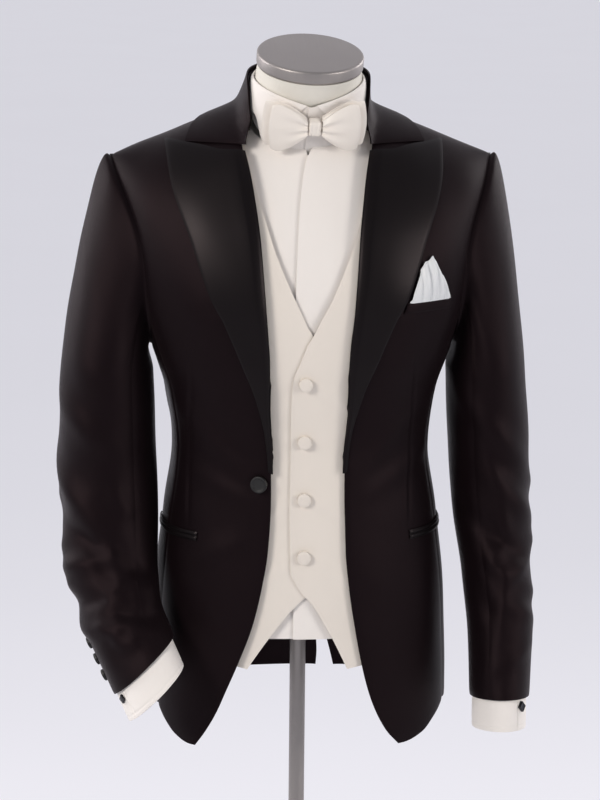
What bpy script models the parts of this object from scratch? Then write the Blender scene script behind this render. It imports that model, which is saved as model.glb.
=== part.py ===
"""A wedding suit on a limbless dress form.

Dinner jacket with peak lapels over a four-button waistcoat, a shirt with double cuffs and a bow tie.
Metres, +Z up. The front faces -Y and the wearer's left is +X. The origin is the middle of the
stand's underside.

Every cloth piece is a flat slab, one unit wide, high and thick, that a function lays onto the figure.
The jacket's outer face is the reference surface: a point on it is an angle round the body, 0 at centre
front and 180 degrees at centre back, and a rise, 0 at the hem, 1 at the chest and 2 on the shoulder line.
Inner layers are the same surface with every width and depth made smaller, so no layer meets another.
"""

import math

import bmesh
import bpy
from mathutils import Matrix, Vector


def mix(a, b, t):
    """The value a share t of the way from a to b."""
    return a + (b - a) * t


# Heights and reaches of the jacket's outer face
HEM_Z = 0.765
CHEST_Z = 1.280
NECK_X, NECK_Z = 0.0765, 1.512
TIP_X, TIP_Z = 0.2250, 1.4525
RIDGE_Y = 0.012
SQUARENESS = 0.80

# Sections of the body: height, half width, depth in front, depth behind
SECTIONS = (
    (0.745, 0.1820, 0.127, 0.126),
    (0.860, 0.1785, 0.126, 0.121),
    (0.950, 0.1735, 0.123, 0.114),
    (1.030, 0.1640, 0.118, 0.105),
    (1.110, 0.1535, 0.114, 0.098),
    (1.180, 0.1620, 0.122, 0.102),
    (1.232, 0.1790, 0.130, 0.108),
    (1.300, 0.2000, 0.134, 0.114),
    (1.370, 0.2120, 0.131, 0.117),
    (1.440, 0.2250, 0.125, 0.115),
    (1.560, 0.2250, 0.125, 0.115),
)

# The neck: height, centre x and y, half width, half depth
NECK = (
    (1.440, 0.0, 0.0160, 0.0740, 0.0720),
    (1.475, 0.0010, 0.0015, 0.0680, 0.0685),
    (1.510, 0.0022, -0.0145, 0.0645, 0.0680),
    (1.540, 0.0032, -0.0285, 0.0622, 0.0672),
    (1.600, 0.0045, -0.0560, 0.0615, 0.0660),
)

# Layers: distance of the outer and inner face from the jacket's outer face. The second pair is on the
# shoulder line, where each layer rests on the next.
JACKET = (0.0, -0.0016, 0.0, -0.0016)
WAISTCOAT_UPPER = (-0.0048, -0.0062, -0.0021, -0.0035)
WAISTCOAT_LOWER = (-0.0074, -0.0088, -0.0021, -0.0035)
WAISTCOAT_BACK = (-0.0062, -0.0076, -0.0021, -0.0035)
SHIRT_UPPER = (-0.0113, -0.0123, -0.0043, -0.0053)
SHIRT_LOWER = (-0.0143, -0.0153, -0.0043, -0.0053)
SHIRT_BACK = (-0.0140, -0.0150, -0.0043, -0.0053)
# The form's levels: rise, distance in from the jacket's outer face
FORM_LEVELS = (
    (0.259, 0.0215),
    (0.40, 0.0225),
    (0.55, 0.0235),
    (0.70, 0.0240),
    (0.85, 0.0255),
    (1.0, 0.0270),
    (1.15, 0.0280),
    (1.30, 0.0280),
    (1.45, 0.0280),
    (1.60, 0.0275),
    (1.73, 0.0265),
    (1.84, 0.0250),
    (1.93, 0.0215),
    (2.0, 0.0068),
)
# The form's neck: height, distance out from the neck's section
NECK_RINGS = ((1.43, -0.034), (1.47, -0.021), (1.505, -0.0095), (1.53, 0.0), (1.54, 0.0))
# The shirt lies this much deeper beside the opening of the waistcoat: angles where it starts and ends
SHIRT_SINK, SINK_START, SINK_END = 0.0030, math.radians(22.0), math.radians(40.0)
SEAM = 0.0003

# Front edge of the jacket: height, x on the wearer's right, x on the wearer's left
FRONT_EDGE = (
    (0.7590, 0.1310, 0.1130),
    (0.776, 0.1203, 0.0985),
    (0.803, 0.1062, 0.0840),
    (0.829, 0.0956, 0.0745),
    (0.864, 0.0814, 0.0655),
    (0.914, 0.0636, 0.0560),
    (0.960, 0.0530, 0.0492),
    (1.000, 0.0465, 0.0452),
    (1.046, 0.0432, 0.0438),
    (1.095, 0.0428, 0.0432),
)

# Hem of a front, from its lowest point to the side seam: share, x on the right, x on the left, height
FRONT_HEM = (
    (0.0, 0.1310, 0.1130, 0.7590),
    (0.14, 0.1385, 0.1220, 0.7597),
    (0.50, 0.1540, 0.1440, 0.7670),
    (0.80, 0.1655, 0.1590, 0.7800),
)
SIDE_HEM_Z, BACK_HEM_Z = 0.7960, 0.7830
# Edges of the back's open vent: height, x of the wearer's right half, x of the left half
VENT = (
    (0.7830, 0.0340, 0.0560),
    (0.8000, 0.0350, 0.0520),
    (0.8600, 0.0290, 0.0360),
    (0.9900, 0.0, 0.0020),
)

# Roll line of the lapel: height, x
ROLL_LINE = (
    (1.095, 0.0428),
    (1.115, 0.0434),
    (1.170, 0.0472),
    (1.250, 0.0500),
    (1.300, 0.0543),
    (1.350, 0.0580),
    (1.386, 0.0612),
    (1.430, 0.0670),
    (1.4705, 0.0750),
)

# Outer edge of the lapel: height, x
LAPEL_EDGE = (
    (1.098, 0.0460),
    (1.145, 0.0510),
    (1.190, 0.0625),
    (1.225, 0.0765),
    (1.265, 0.0930),
    (1.305, 0.1130),
    (1.366, 0.1335),
    (1.410, 0.1495),
    (1.446, 0.1575),
)

# Cross-section of the lapel: share across, angle past the roll line, height of the outer face
LAPEL_SECTION = (
    (0.0, -0.0150, 0.0012),
    (0.035, -0.0125, 0.0034),
    (0.10, 0.0, 0.0056),
    (0.30, 0.0, 0.0051),
    (1.0, 0.0, 0.0036),
)
LAPEL_THICKNESS = 0.0014
LAPEL_ROWS = [0.0, 0.08, 0.17, 0.26, 0.35, 0.44, 0.53, 0.62, 0.71, 0.79, 0.87, 0.94, 1.0]

# Gorge seam, where the collar meets the lapel, seen from above: x, y. The notch is the fourth point.
GORGE = (
    (0.0750, -0.0688),
    (0.0965, -0.0620),
    (0.1180, -0.0490),
    (0.1380, -0.0355),
    (0.1605, -0.0150),
)
NOTCH_SHARE = 0.74
GORGE_SHARES = (0.0, 0.24, 0.50, NOTCH_SHARE, 1.0)
LAPEL_PEAK_Z = 1.480

# Necklines of the jacket's collar on each side, from the gorge (0) to centre back (1): share, then x and z
COLLAR_SEAM = ((0.0, 0.0750, 1.4720), (0.25, 0.0775, 1.4920))
COLLAR_SEAM_BACK = ((0.75, 0.0560, 1.5120), (1.0, 0.0, 1.5050))
# Roll of the collar: share, degrees round the neck, height, distance from the neck
COLLAR_ROLL = (
    (0.0, 46.0, 1.4740, 0.0330),
    (0.22, 60.0, 1.5060, 0.0140),
    (0.5, 92.0, 1.5500, 0.0098),
    (0.75, 135.0, 1.5590, 0.0098),
    (1.0, 180.0, 1.5620, 0.0098),
)
# How closely the fall keeps to the neckline, and how far its outer face lies over the jacket
COLLAR_PULL, FALL_LIFT = 5.0, 0.0034
# Outer edge of the collar, from the notch (0) to centre back (1): share, then x and y from above; behind
# the shoulder line x and z
COLLAR_EDGE = ((0.0, 0.1380, -0.0343), (0.25, 0.1290, -0.0080))
COLLAR_EDGE_X = 0.1190
COLLAR_EDGE_BACK = ((0.75, 0.0930, 1.4800), (1.0, 0.0, 1.4930))

# The armhole: middle height, half height and half width round the body
ARMHOLE_Z, ARMHOLE_RISE, ARMHOLE_SPREAD = 1.342, 0.1105, math.radians(27.0)
# Share of a panel's side at which its seam meets the armhole
ARMHOLE_SHARE = 0.70
SIDE_SEAMS = (math.radians(72.0), math.radians(112.0))

# Sleeve rings: share of the length, outer x and z, inner x and z, centre y, half depth, lift of the front
SLEEVE_RIGHT = (
    (0.34, 0.2850, 1.205, 0.1760, 1.200, -0.010, 0.0690, 0.0),
    (0.47, 0.2885, 1.110, 0.1735, 1.110, -0.008, 0.0650, 0.0),
    (0.60, 0.2865, 1.020, 0.1710, 1.022, -0.022, 0.0600, 0.0),
    (0.72, 0.2790, 0.955, 0.1725, 0.970, -0.046, 0.0560, 0.004),
    (0.84, 0.2600, 0.900, 0.1710, 0.940, -0.080, 0.0520, 0.007),
    (1.00, 0.2270, 0.832, 0.1560, 0.902, -0.118, 0.0440, 0.008),
)
SLEEVE_LEFT = (
    (0.34, 0.2680, 1.200, 0.1745, 1.200, -0.010, 0.0690, 0.0),
    (0.47, 0.2760, 1.110, 0.1790, 1.110, -0.008, 0.0650, 0.0),
    (0.60, 0.2780, 1.020, 0.1860, 1.020, -0.018, 0.0600, 0.0),
    (0.72, 0.2795, 0.950, 0.1960, 0.950, -0.036, 0.0560, 0.004),
    (0.86, 0.2775, 0.880, 0.2010, 0.880, -0.062, 0.0530, 0.008),
    (1.00, 0.2715, 0.812, 0.2005, 0.812, -0.090, 0.0500, 0.009),
)
# How full the sleeve heads are, on the wearer's right and left
FULLNESS = {-1: 0.55, 1: 0.68}
# How far the shirt sleeve hangs inside: share of the length, distance
SHIRT_SLEEVE_INSET = ((0.0, 0.0140), (0.34, 0.0125), (0.80, 0.0115), (0.955, 0.0064), (0.975, 0.0062))
CAP_SHARE = 0.34
SLEEVE_LENGTH = 0.66
CUFF_REACH, CUFF_HIDDEN = 0.037, 0.030

# Creases of the sleeves: share of the length, degrees round the arm from its outer side to the front,
# slant in degrees, height of the ridge, half width and half length as shares and degrees
CREASES_RIGHT = (
    (0.42, 55.0, 30.0, 0.0045, 0.030, 50.0),
    (0.53, 30.0, 34.0, 0.0050, 0.028, 55.0),
    (0.62, 60.0, 22.0, -0.0045, 0.026, 50.0),
    (0.69, 20.0, -16.0, 0.0060, 0.024, 65.0),
    (0.77, 40.0, -10.0, -0.0045, 0.022, 60.0),
    (0.84, 15.0, 12.0, 0.0045, 0.024, 55.0),
)
CREASES_LEFT = (
    (0.44, 90.0, -38.0, 0.0045, 0.028, 50.0),
    (0.56, 60.0, -34.0, 0.0050, 0.026, 55.0),
    (0.63, 95.0, -30.0, -0.0045, 0.024, 50.0),
    (0.70, 70.0, 24.0, 0.0045, 0.024, 50.0),
    (0.80, 50.0, -24.0, 0.0035, 0.026, 50.0),
    (0.90, 75.0, 20.0, 0.0030, 0.024, 45.0),
)

# Rows of a sleeve, closest at the head and the elbow
SLEEVE_SHARES = [0.0, 0.015, 0.05, 0.11, 0.19, 0.27, 0.34, 0.41, 0.48, 0.55, 0.61, 0.67, 0.73]
SLEEVE_SHARES += [0.80, 0.87, 0.94, 1.0]
# Room between the sleeve and the armhole at the seam, and between the jacket's armhole and the shirt's
SLEEVE_INSET, SHIRT_ARMHOLE_INSIDE = 0.0010, 0.0110
# Half the gap at the sleeve's seams, as an angle round the arm
SLEEVE_SEAM = 0.0060
# Turns round the arm of the cuff links and the cuff buttons
LINK_TURNS = {1: math.radians(50.0), -1: math.radians(30.0)}
BUTTON_TURNS = {1: math.radians(-48.0), -1: math.radians(-8.0)}

# Outer and inner face of what lies on the jacket's front
TRIM = (0.0026, 0.0010)
# The closing button: x, height, distance out
JACKET_BUTTON = (-0.0560, 1.0830, 0.0022)
# Top edge of the folded pocket square: share across, x, height; and how far its middle stands out
SQUARE_CREST = (
    (0.0, 0.1160, 1.3040),
    (0.12, 0.1245, 1.3290),
    (0.28, 0.1300, 1.3420),
    (0.42, 0.1345, 1.3440),
    (0.52, 0.1400, 1.3490),
    (0.68, 0.1480, 1.3350),
    (0.84, 0.1570, 1.3190),
    (1.0, 0.1625, 1.3010),
)
SQUARE_PUFF = 0.0060

# The stand and the form
BASE_RADIUS, BASE_THICKNESS = 0.190, 0.012
POLE_RADIUS = 0.0096
SHIRT_BOTTOM = 0.8930
FORM_BOTTOM = mix(HEM_Z, CHEST_Z, FORM_LEVELS[0][0])
CAP_CENTRE, CAP_RADIUS, CAP_HEIGHT = Vector((0.0045, -0.045, 1.5770)), 0.0618, 0.016
CAP_TILT, CAP_LEAN = math.radians(16.0), math.radians(2.0)

# The bow: centre, lean of the neck behind it, width, depth and height of the knot
BOW_CENTRE, BOW_LEAN = Vector((0.0060, -0.0893, 1.4965)), math.radians(24.7)
KNOT = Vector((0.0158, 0.0155, 0.0190))
# A bow wing: distance from the knot's middle, half height
BOW_WING = ((0.0070, 0.0090), (0.018, 0.0185), (0.030, 0.0265), (0.042, 0.0310), (0.0495, 0.0290))
# Layers of a wing: name, depth behind the knot's middle, extra length
BOW_LAYERS = (("front", -0.0050, 0.0), ("rear", 0.0030, 0.0072))

# Neck pieces: distance of the outer and inner face from the neck
SHIRT_STAND = (0.0018, 0.0008)
BOW_BAND = (0.0036, 0.0026)
SHIRT_LEAF = (0.0057, 0.0049)
# Seam of the shirt's collar on the neck: degrees round the neck, height
COLLAR_FOOT = (
    (0.0, 1.4780),
    (45.0, 1.4850),
    (90.0, 1.5110),
    (112.0, 1.5150),
    (135.0, 1.5150),
    (180.0, 1.5100),
)
NECK_STEP = math.radians(11.25)
# Where the shirt's neckline crosses the shoulder line on each side, and the turn of the collar's points
NECK_RIDGE_X, LEAF_POINT = {1: 0.0644, -1: 0.0600}, 42.0

# Neckline and front edge of the waistcoat, from its lower corner up: share, x, height
WAISTCOAT_EDGE = (
    (0.0, -0.0200, 0.9735),
    (0.18, -0.0213, 1.0690),
    (0.34, -0.0209, 1.1600),
    (0.42, -0.0203, 1.1940),
    (0.46, -0.0176, 1.2125),
    (0.49, -0.0109, 1.2282),
    (0.55, 0.0039, 1.2601),
    (0.62, 0.0226, 1.2962),
    (0.69, 0.0385, 1.3322),
    (0.74, 0.0507, 1.3631),
    (0.785, 0.0611, 1.3966),
    (0.815, 0.0681, 1.4201),
    (0.87, 0.0790, 1.4640),
)
# Line of the buttons, and half the gap at the side seam as an angle
WAISTCOAT_MIDDLE, WAISTCOAT_SEAM = -0.004, 0.0020
# Armhole of the waistcoat: share, degrees round the body, height
WAISTCOAT_ARMHOLE = (
    (0.0, 90.0, 0.905),
    (0.36, 90.0, 1.100),
    (0.62, 88.0, 1.195),
    (0.68, 68.0, 1.222),
    (0.75, 56.0, 1.280),
    (0.83, 48.0, 1.370),
)
# Ends of the shoulder seam, and the heights of the back's hem and the front's points
WAISTCOAT_SHOULDER = (0.0860, 0.1380)
WAISTCOAT_HEM_Z, WAISTCOAT_POINT_Z = 0.905, 0.8570
WAISTCOAT_BUTTONS = (1.2030, 1.1320, 1.0630, 0.9945)
CUFF_BUTTON_SHARES = (0.835, 0.875, 0.915, 0.955)
# Room under a sleeve's buttons
BUTTON_LIFT = 0.0005

SHOULDER_SEAM = 0.0002
# Angle of half the gap at centre back, where a small angle is a wide step
CENTRE_GAP = 0.0003
STEP = 1e-4
# Marks of a worn slab's outer and inner face
BOTH = (1, -1)


def along(rows, key):
    """Read rows at a key in their first column, with a smooth curve through the other columns."""
    last = len(rows) - 1
    index = min(max(sum(row[0] <= key for row in rows) - 1, 0), last - 1)
    start, end = rows[index], rows[index + 1]
    span = end[0] - start[0]
    t = min(max((key - start[0]) / span, 0.0), 1.0)

    def slope(row, column):
        if row in (0, last):
            near = 1 if row == 0 else last
            return (rows[near][column] - rows[near - 1][column]) / (rows[near][0] - rows[near - 1][0])
        before = (rows[row][column] - rows[row - 1][column]) / (rows[row][0] - rows[row - 1][0])
        after = (rows[row + 1][column] - rows[row][column]) / (rows[row + 1][0] - rows[row][0])
        return 2 * before * after / (before + after) if before * after > 0 else 0.0

    return [
        start[column] * (1 - t) ** 2 * (1 + 2 * t)
        + end[column] * t * t * (3 - 2 * t)
        + (slope(index, column) * (1 - t) - slope(index + 1, column) * t) * span * t * (1 - t)
        for column in range(1, len(start))
    ]


def squared(value):
    """Sine or cosine of a section that is squarer than an ellipse."""
    return math.copysign(abs(value) ** SQUARENESS, value)


def ridge_height(x):
    """Height of the shoulder line at a distance from the middle."""
    return NECK_Z - (abs(x) - NECK_X) * (NECK_Z - TIP_Z) / (TIP_X - NECK_X)


def on_body(angle, rise, out=0.0):
    """A point at a distance out from the jacket's outer face: every width and depth is that much larger."""
    across, forward = squared(math.sin(angle)), squared(math.cos(angle))
    turn = max(rise - 1, 0.0) * math.pi / 2
    if rise < 1:
        z = mix(HEM_Z, CHEST_Z, rise)
    else:
        z = mix(CHEST_Z, ridge_height(TIP_X * across) + out, math.sin(turn))
    width, front, back = along(SECTIONS, z)
    y = -((front if forward > 0 else back) + out) * forward
    if rise > 1:
        y = mix(RIDGE_Y, y, math.cos(turn))
    return Vector(((width + out) * across, y, z))


def in_layer(angle, rise, layer, inner):
    """A point on the outer (0) or inner (1) face of a layer, which settles on the shoulder line."""
    settled = min(max((rise - 1.96) / 0.04, 0.0), 1.0)
    return on_body(angle, rise, mix(layer[inner], layer[inner + 2], settled))


def rise_of(angle, z):
    """The rise at which the body's face has this height."""
    if z < CHEST_Z:
        return (z - HEM_Z) / (CHEST_Z - HEM_Z)
    top = ridge_height(TIP_X * squared(math.sin(angle)))
    return 1 + math.asin(min((z - CHEST_Z) / (top - CHEST_Z), 1)) * 2 / math.pi


def spot(x, z, behind=False):
    """Angle and rise of the place seen at x and z from the front, or from behind."""
    angle = math.copysign(math.asin(min(abs(x) / along(SECTIONS, z)[0], 1) ** (1 / SQUARENESS)), x)
    return math.pi - angle if behind else angle, rise_of(angle, z)


def crown_spot(x, y, out=0.0):
    """Angle and rise of the place on the shoulder seen at x and y from above."""
    angle = math.asin(min(x / (TIP_X + out), 1) ** (1 / SQUARENESS))
    _, front, back = along(SECTIONS, NECK_Z)
    reach = RIDGE_Y + (front + out) * squared(math.cos(angle))
    if y > RIDGE_Y:
        reach = RIDGE_Y - (back + out) * squared(math.cos(angle))
        angle = math.pi - angle
    return angle, 1 + math.acos(min((RIDGE_Y - y) / reach, 1)) * 2 / math.pi


def ridge_spot(x, behind=False):
    """Angle and rise of a place on the shoulder line."""
    angle = math.asin((x / TIP_X) ** (1 / SQUARENESS))
    return (math.pi - angle if behind else angle), 2.0


def armhole(turn, inside=0.0):
    """Angle and rise on the armhole: turn 0 at the tip, a quarter in front, a half under the arm."""
    angle = math.pi / 2 - (ARMHOLE_SPREAD - inside / TIP_X) * math.sin(turn)
    return angle, rise_of(angle, ARMHOLE_Z + (ARMHOLE_RISE - inside) * math.cos(turn))


def armhole_turn(seam_angle):
    """The turn at which the lower armhole crosses a side seam."""
    return math.pi - math.asin((math.pi / 2 - seam_angle) / ARMHOLE_SPREAD)


def between(start, end, count):
    """Evenly spaced values from start to end, both included."""
    return [mix(start, end, index / count) for index in range(count + 1)]


def shares_of(values):
    """Where each value lies between the first and the last, from 0 to 1."""
    return [(value - values[0]) / (values[-1] - values[0]) for value in values]


# Corners of the armhole, which the panels and the sleeves share
FRONT_TURNS = between(0.0, armhole_turn(SIDE_SEAMS[0]), 8)
UNDER_TURNS = between(armhole_turn(SIDE_SEAMS[0]), armhole_turn(SIDE_SEAMS[1]), 4)
BACK_TURNS = between(armhole_turn(SIDE_SEAMS[1]), 2 * math.pi, 8)


def edge(*rows):
    """A curve on the body through rows of share, angle and rise."""
    return lambda share: along(rows, share)


def straight(*rows):
    """The same with straight steps between the rows."""

    def read(share):
        index = max(index for index, row in enumerate(rows[:-1]) if row[0] <= share)
        start, end = rows[index], rows[index + 1]
        t = (share - start[0]) / (end[0] - start[0])
        return [mix(a, b, t) for a, b in zip(start[1:], end[1:])]

    return read


def ruled(left, right):
    """The map from a unit square to angle and rise between two edges, u across and v up."""

    def spread(u, v):
        (a0, r0), (a1, r1) = left(v), right(v)
        return mix(a0, a1, u), mix(r0, r1, u)

    return spread


def patched(left, right, bottom, top=None):
    """The same between edges on all sides: a Coons patch."""

    def spread(u, v):
        sides = [mix(a, b, u) for a, b in zip(left(v), right(v))]
        low = [b - mix(a, c, u) for a, b, c in zip(left(0), bottom(u), right(0))]
        high = [b - mix(a, c, u) for a, b, c in zip(left(1), top(u), right(1))] if top else (0, 0)
        return [s + (1 - v) * lo + v * hi for s, lo, hi in zip(sides, low, high)]

    return spread


def laid(spread, side=1):
    """A slab's place on the wearer's left (1) or right (-1), at distances out from the jacket's face."""
    return lambda u, v, out: on_body(side * spread(u, v)[0], spread(u, v)[1], out)


def worn(spread, layer, side=1, sink=0.0):
    """A slab's place in a layer, its inner face where out is below zero.

    Fronts and backs part at the shoulder line.
    """

    def place(u, v, out):
        angle, rise = spread(u, v)
        deeper = sink * min(max((angle - SINK_START) / (SINK_END - SINK_START), 0.0), 1.0)
        sunk = [layer[0] - deeper, layer[1] - deeper, *layer[2:]]
        point = in_layer(side * angle, rise, sunk, int(out < 0))
        point.y += math.copysign(SHOULDER_SEAM, angle - math.pi / 2)
        return point

    return place


def raised(face):
    """A slab's place on a free surface: out along its normal."""

    def place(u, v, out):
        across = face(u + STEP, v) - face(u - STEP, v)
        upward = face(u, v + STEP) - face(u, v - STEP)
        return face(u, v) + across.cross(upward).normalized() * out

    return place


def round_neck(angle, z, out):
    """A point at a distance out from the bare neck: angle 0 in front, 90 degrees at the wearer's left."""
    x, y, width, depth = along(NECK, z)
    return Vector((x + math.sin(angle) * (width + out), y - math.cos(angle) * (depth + out), z))


# Finishes: colour, roughness, metallic
FINISHES = {
    "jacket_cloth": ((0.012, 0.011, 0.013), 0.72, 0.0),
    "lapel_satin": ((0.010, 0.010, 0.012), 0.34, 0.0),
    "waistcoat_cloth": ((0.72, 0.68, 0.60), 0.55, 0.0),
    "shirt_cotton": ((0.80, 0.79, 0.75), 0.75, 0.0),
    "bow_satin": ((0.80, 0.77, 0.70), 0.45, 0.0),
    "pocket_silk": ((0.72, 0.74, 0.75), 0.40, 0.0),
    "black_button": ((0.010, 0.010, 0.011), 0.25, 0.0),
    "link_metal": ((0.030, 0.030, 0.034), 0.25, 0.9),
    "form_jersey": ((0.74, 0.72, 0.66), 0.85, 0.0),
    "brushed_metal": ((0.42, 0.42, 0.43), 0.38, 1.0),
}


def finish(name):
    """The material of that name, made on first use."""
    if name not in bpy.data.materials:
        material = bpy.data.materials.new(name)
        material.use_nodes = True
        shader = material.node_tree.nodes["Principled BSDF"]
        colour, roughness, metallic = FINISHES[name]
        shader.inputs["Base Color"].default_value = (*colour, 1)
        shader.inputs["Roughness"].default_value = roughness
        shader.inputs["Metallic"].default_value = metallic
    return bpy.data.materials[name]


def keep(mesh, name, finish_name, collection):
    """Close the bmesh into an object of the collection, smooth but for its sharp edges."""
    bmesh.ops.recalc_face_normals(mesh, faces=mesh.faces)
    if mesh.calc_volume(signed=True) < 0:
        bmesh.ops.reverse_faces(mesh, faces=mesh.faces)
    data = bpy.data.meshes.new(name)
    mesh.to_mesh(data)
    mesh.free()
    data.shade_smooth()
    data.set_sharp_from_angle(angle=math.radians(40))
    data.materials.append(finish(finish_name))
    item = bpy.data.objects.new(name, data)
    collection.objects.link(item)
    return item


def slab(name, place, faces, columns, rows, finish_name, collection, tube=False):
    """A wall of cloth: a grid with a second skin, each corner laid at place(u, v, distance out).

    columns and rows are counts, or lists of shares from 0 to 1; faces are the outer and inner distances.
    A tube's last column closes onto its first.
    """
    across = between(0.0, 1.0, columns) if isinstance(columns, int) else columns
    upward = between(0.0, 1.0, rows) if isinstance(rows, int) else rows
    mesh = bmesh.new()
    # A grid two units wide has its corners at -1 and 1
    bmesh.ops.create_grid(mesh, x_segments=len(across) - 1, y_segments=len(upward) - 1, size=1)
    skin = bmesh.ops.extrude_face_region(mesh, geom=mesh.faces[:])
    second = {corner for corner in skin["geom"] if isinstance(corner, bmesh.types.BMVert)}
    if tube:
        ends = [face for face in mesh.faces if all(abs(abs(v.co.x) - 1) < STEP for v in face.verts)]
        bmesh.ops.delete(mesh, geom=ends, context="FACES_ONLY")
    for corner in mesh.verts:
        column = round((corner.co.x + 1) / 2 * (len(across) - 1))
        row = round((corner.co.y + 1) / 2 * (len(upward) - 1))
        out = faces[0] if corner in second else faces[1]
        corner.co = place(across[column], upward[row], out)
    if tube:
        bmesh.ops.remove_doubles(mesh, verts=mesh.verts, dist=1e-6)
    return keep(mesh, name, finish_name, collection)


def disc(name, centre, axis, radius, height, finish_name, collection, sides=16):
    """A round button with a domed face: a short cone frustum on a short drum."""
    mesh = bmesh.new()
    turn = Vector((0, 0, 1)).rotation_difference(axis).to_matrix().to_4x4()
    at = Matrix.Translation(centre) @ turn @ Matrix.Translation((0, 0, height / 2))
    bmesh.ops.create_cone(
        mesh, cap_ends=True, segments=sides, radius1=radius, radius2=radius, depth=height, matrix=at
    )
    top = max(mesh.faces, key=lambda face: face.calc_center_median().dot(axis))
    bmesh.ops.bevel(mesh, geom=top.edges[:], offset=height * 0.4, segments=1, affect="EDGES")
    return keep(mesh, name, finish_name, collection)


def on_front(x, z, out):
    """Centre and axis of a small piece that sits on the front at x and z."""
    angle, rise = spot(x, z)
    centre = on_body(angle, rise, out)
    return centre, (on_body(angle, rise, out + 0.001) - centre).normalized()


# The stand and the form


def make_stand(collection):
    """The round plate and the pole, turned from their profiles."""
    for name, profile in (
        (
            "base_plate",
            [
                (0.0, BASE_THICKNESS),
                (BASE_RADIUS - 0.004, BASE_THICKNESS),
                (BASE_RADIUS, BASE_THICKNESS - 0.004),
                (BASE_RADIUS, 0.0),
                (0.0, 0.0),
            ],
        ),
        (
            "pole",
            [
                (0.0, FORM_BOTTOM - SEAM),
                (POLE_RADIUS, FORM_BOTTOM - SEAM),
                (POLE_RADIUS, BASE_THICKNESS + 0.030),
                (0.0200, BASE_THICKNESS + 0.020),
                (0.0260, BASE_THICKNESS + SEAM),
                (0.0, BASE_THICKNESS + SEAM),
            ],
        ),
        (
            "neck_cap",
            [
                (0.0, 0.0),
                (CAP_RADIUS - 0.004, 0.0),
                (CAP_RADIUS, -0.003),
                (CAP_RADIUS, -CAP_HEIGHT),
                (0.0, -CAP_HEIGHT),
            ],
        ),
    ):
        data = bpy.data.meshes.new(name)
        corners = [(x, 0, z) for x, z in profile]
        data.from_pydata(corners, [(index, index + 1) for index in range(len(corners) - 1)], [])
        item = bpy.data.objects.new(name, data)
        collection.objects.link(item)
        turned = item.modifiers.new("turned", "SCREW")
        turned.steps = turned.render_steps = 40
        turned.use_merge_vertices = True
        turned.merge_threshold = 1e-4
        turned.use_smooth_shade = False
        data.materials.append(finish("brushed_metal"))
        if name == "neck_cap":
            item.location = CAP_CENTRE
            item.rotation_euler = (CAP_TILT, CAP_LEAN, 0)


def lofted(name, rings, finish_name, collection, capped):
    """A closed body through rings with equal numbers of corners."""
    mesh = bmesh.new()
    made = [[mesh.verts.new(point) for point in ring] for ring in rings]
    for lower, upper in zip(made, made[1:]):
        for index in range(len(lower)):
            mesh.faces.new((lower[index - 1], lower[index], upper[index], upper[index - 1]))
    mesh.faces.new(made[0])
    if capped:
        mesh.faces.new(made[-1])
    bmesh.ops.remove_doubles(mesh, verts=mesh.verts, dist=1e-5)
    return keep(mesh, name, finish_name, collection)


def make_form(collection, helpers):
    """The torso up to the shoulder line, where its front and back meet, joined to the neck."""
    turns = between(0, 2 * math.pi, 32)[:-1]
    torso_rings = [[on_body(turn, rise, -depth) for turn in turns] for rise, depth in FORM_LEVELS]
    torso = lofted("form_torso", torso_rings, "form_jersey", collection, capped=False)

    neck_rings = [[round_neck(turn, z, out) for turn in turns] for z, out in NECK_RINGS]
    tilt = Matrix.Rotation(CAP_LEAN, 3, "Y") @ Matrix.Rotation(CAP_TILT, 3, "X")
    seat = CAP_CENTRE - tilt @ Vector((0, 0, CAP_HEIGHT + SEAM))
    rim = CAP_RADIUS - 0.0015
    top_ring = [Vector((math.sin(turn), -math.cos(turn), 0)) * rim for turn in turns]
    neck_rings.append([seat + tilt @ point for point in top_ring])
    column = lofted("neck_column", neck_rings, "form_jersey", helpers, capped=True)
    column.hide_render = True
    column.display_type = "WIRE"
    joined = torso.modifiers.new("neck", "BOOLEAN")
    joined.operation = "UNION"
    joined.object = column


# Jacket


def front_edge(side):
    """Left boundary of a front: the cutaway, the closing edge and the roll line, up to the neck point."""
    rows = [(z, left if side > 0 else right) for z, right, left in FRONT_EDGE] + list(ROLL_LINE[1:])
    low, top = rows[0][0], ridge_height(NECK_X)
    places = [(0.93 * (z - low) / (top - low), *spot(x, z)) for z, x in rows]
    return edge(*places, (0.945, *spot(0.0775, 1.492)), (1.0, *ridge_spot(NECK_X)))


def side_and_armhole(seam, hem_z, turns, nudge, inside=0.0):
    """A side seam up to the armhole, then along the armhole to the shoulder tip."""
    rows = [(0.0, seam + nudge, rise_of(seam, hem_z))]
    low, high = rise_of(seam, hem_z), armhole(turns[0], inside)[1]
    rows.append((ARMHOLE_SHARE / 2, seam + nudge, mix(low, high, 0.5)))
    for share, turn in zip(shares_of(turns), turns):
        angle, rise = armhole(turn, inside)
        rows.append((mix(ARMHOLE_SHARE, 1.0, share), angle + nudge * (1 - share), rise))
    return edge(*rows)


def panel_rows(below, turns):
    """Row shares of a panel: evenly up the side seam, then one for each corner of the armhole."""
    above = [mix(ARMHOLE_SHARE, 1.0, share) for share in shares_of(turns)]
    return between(0.0, ARMHOLE_SHARE, below)[:-1] + above


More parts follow.
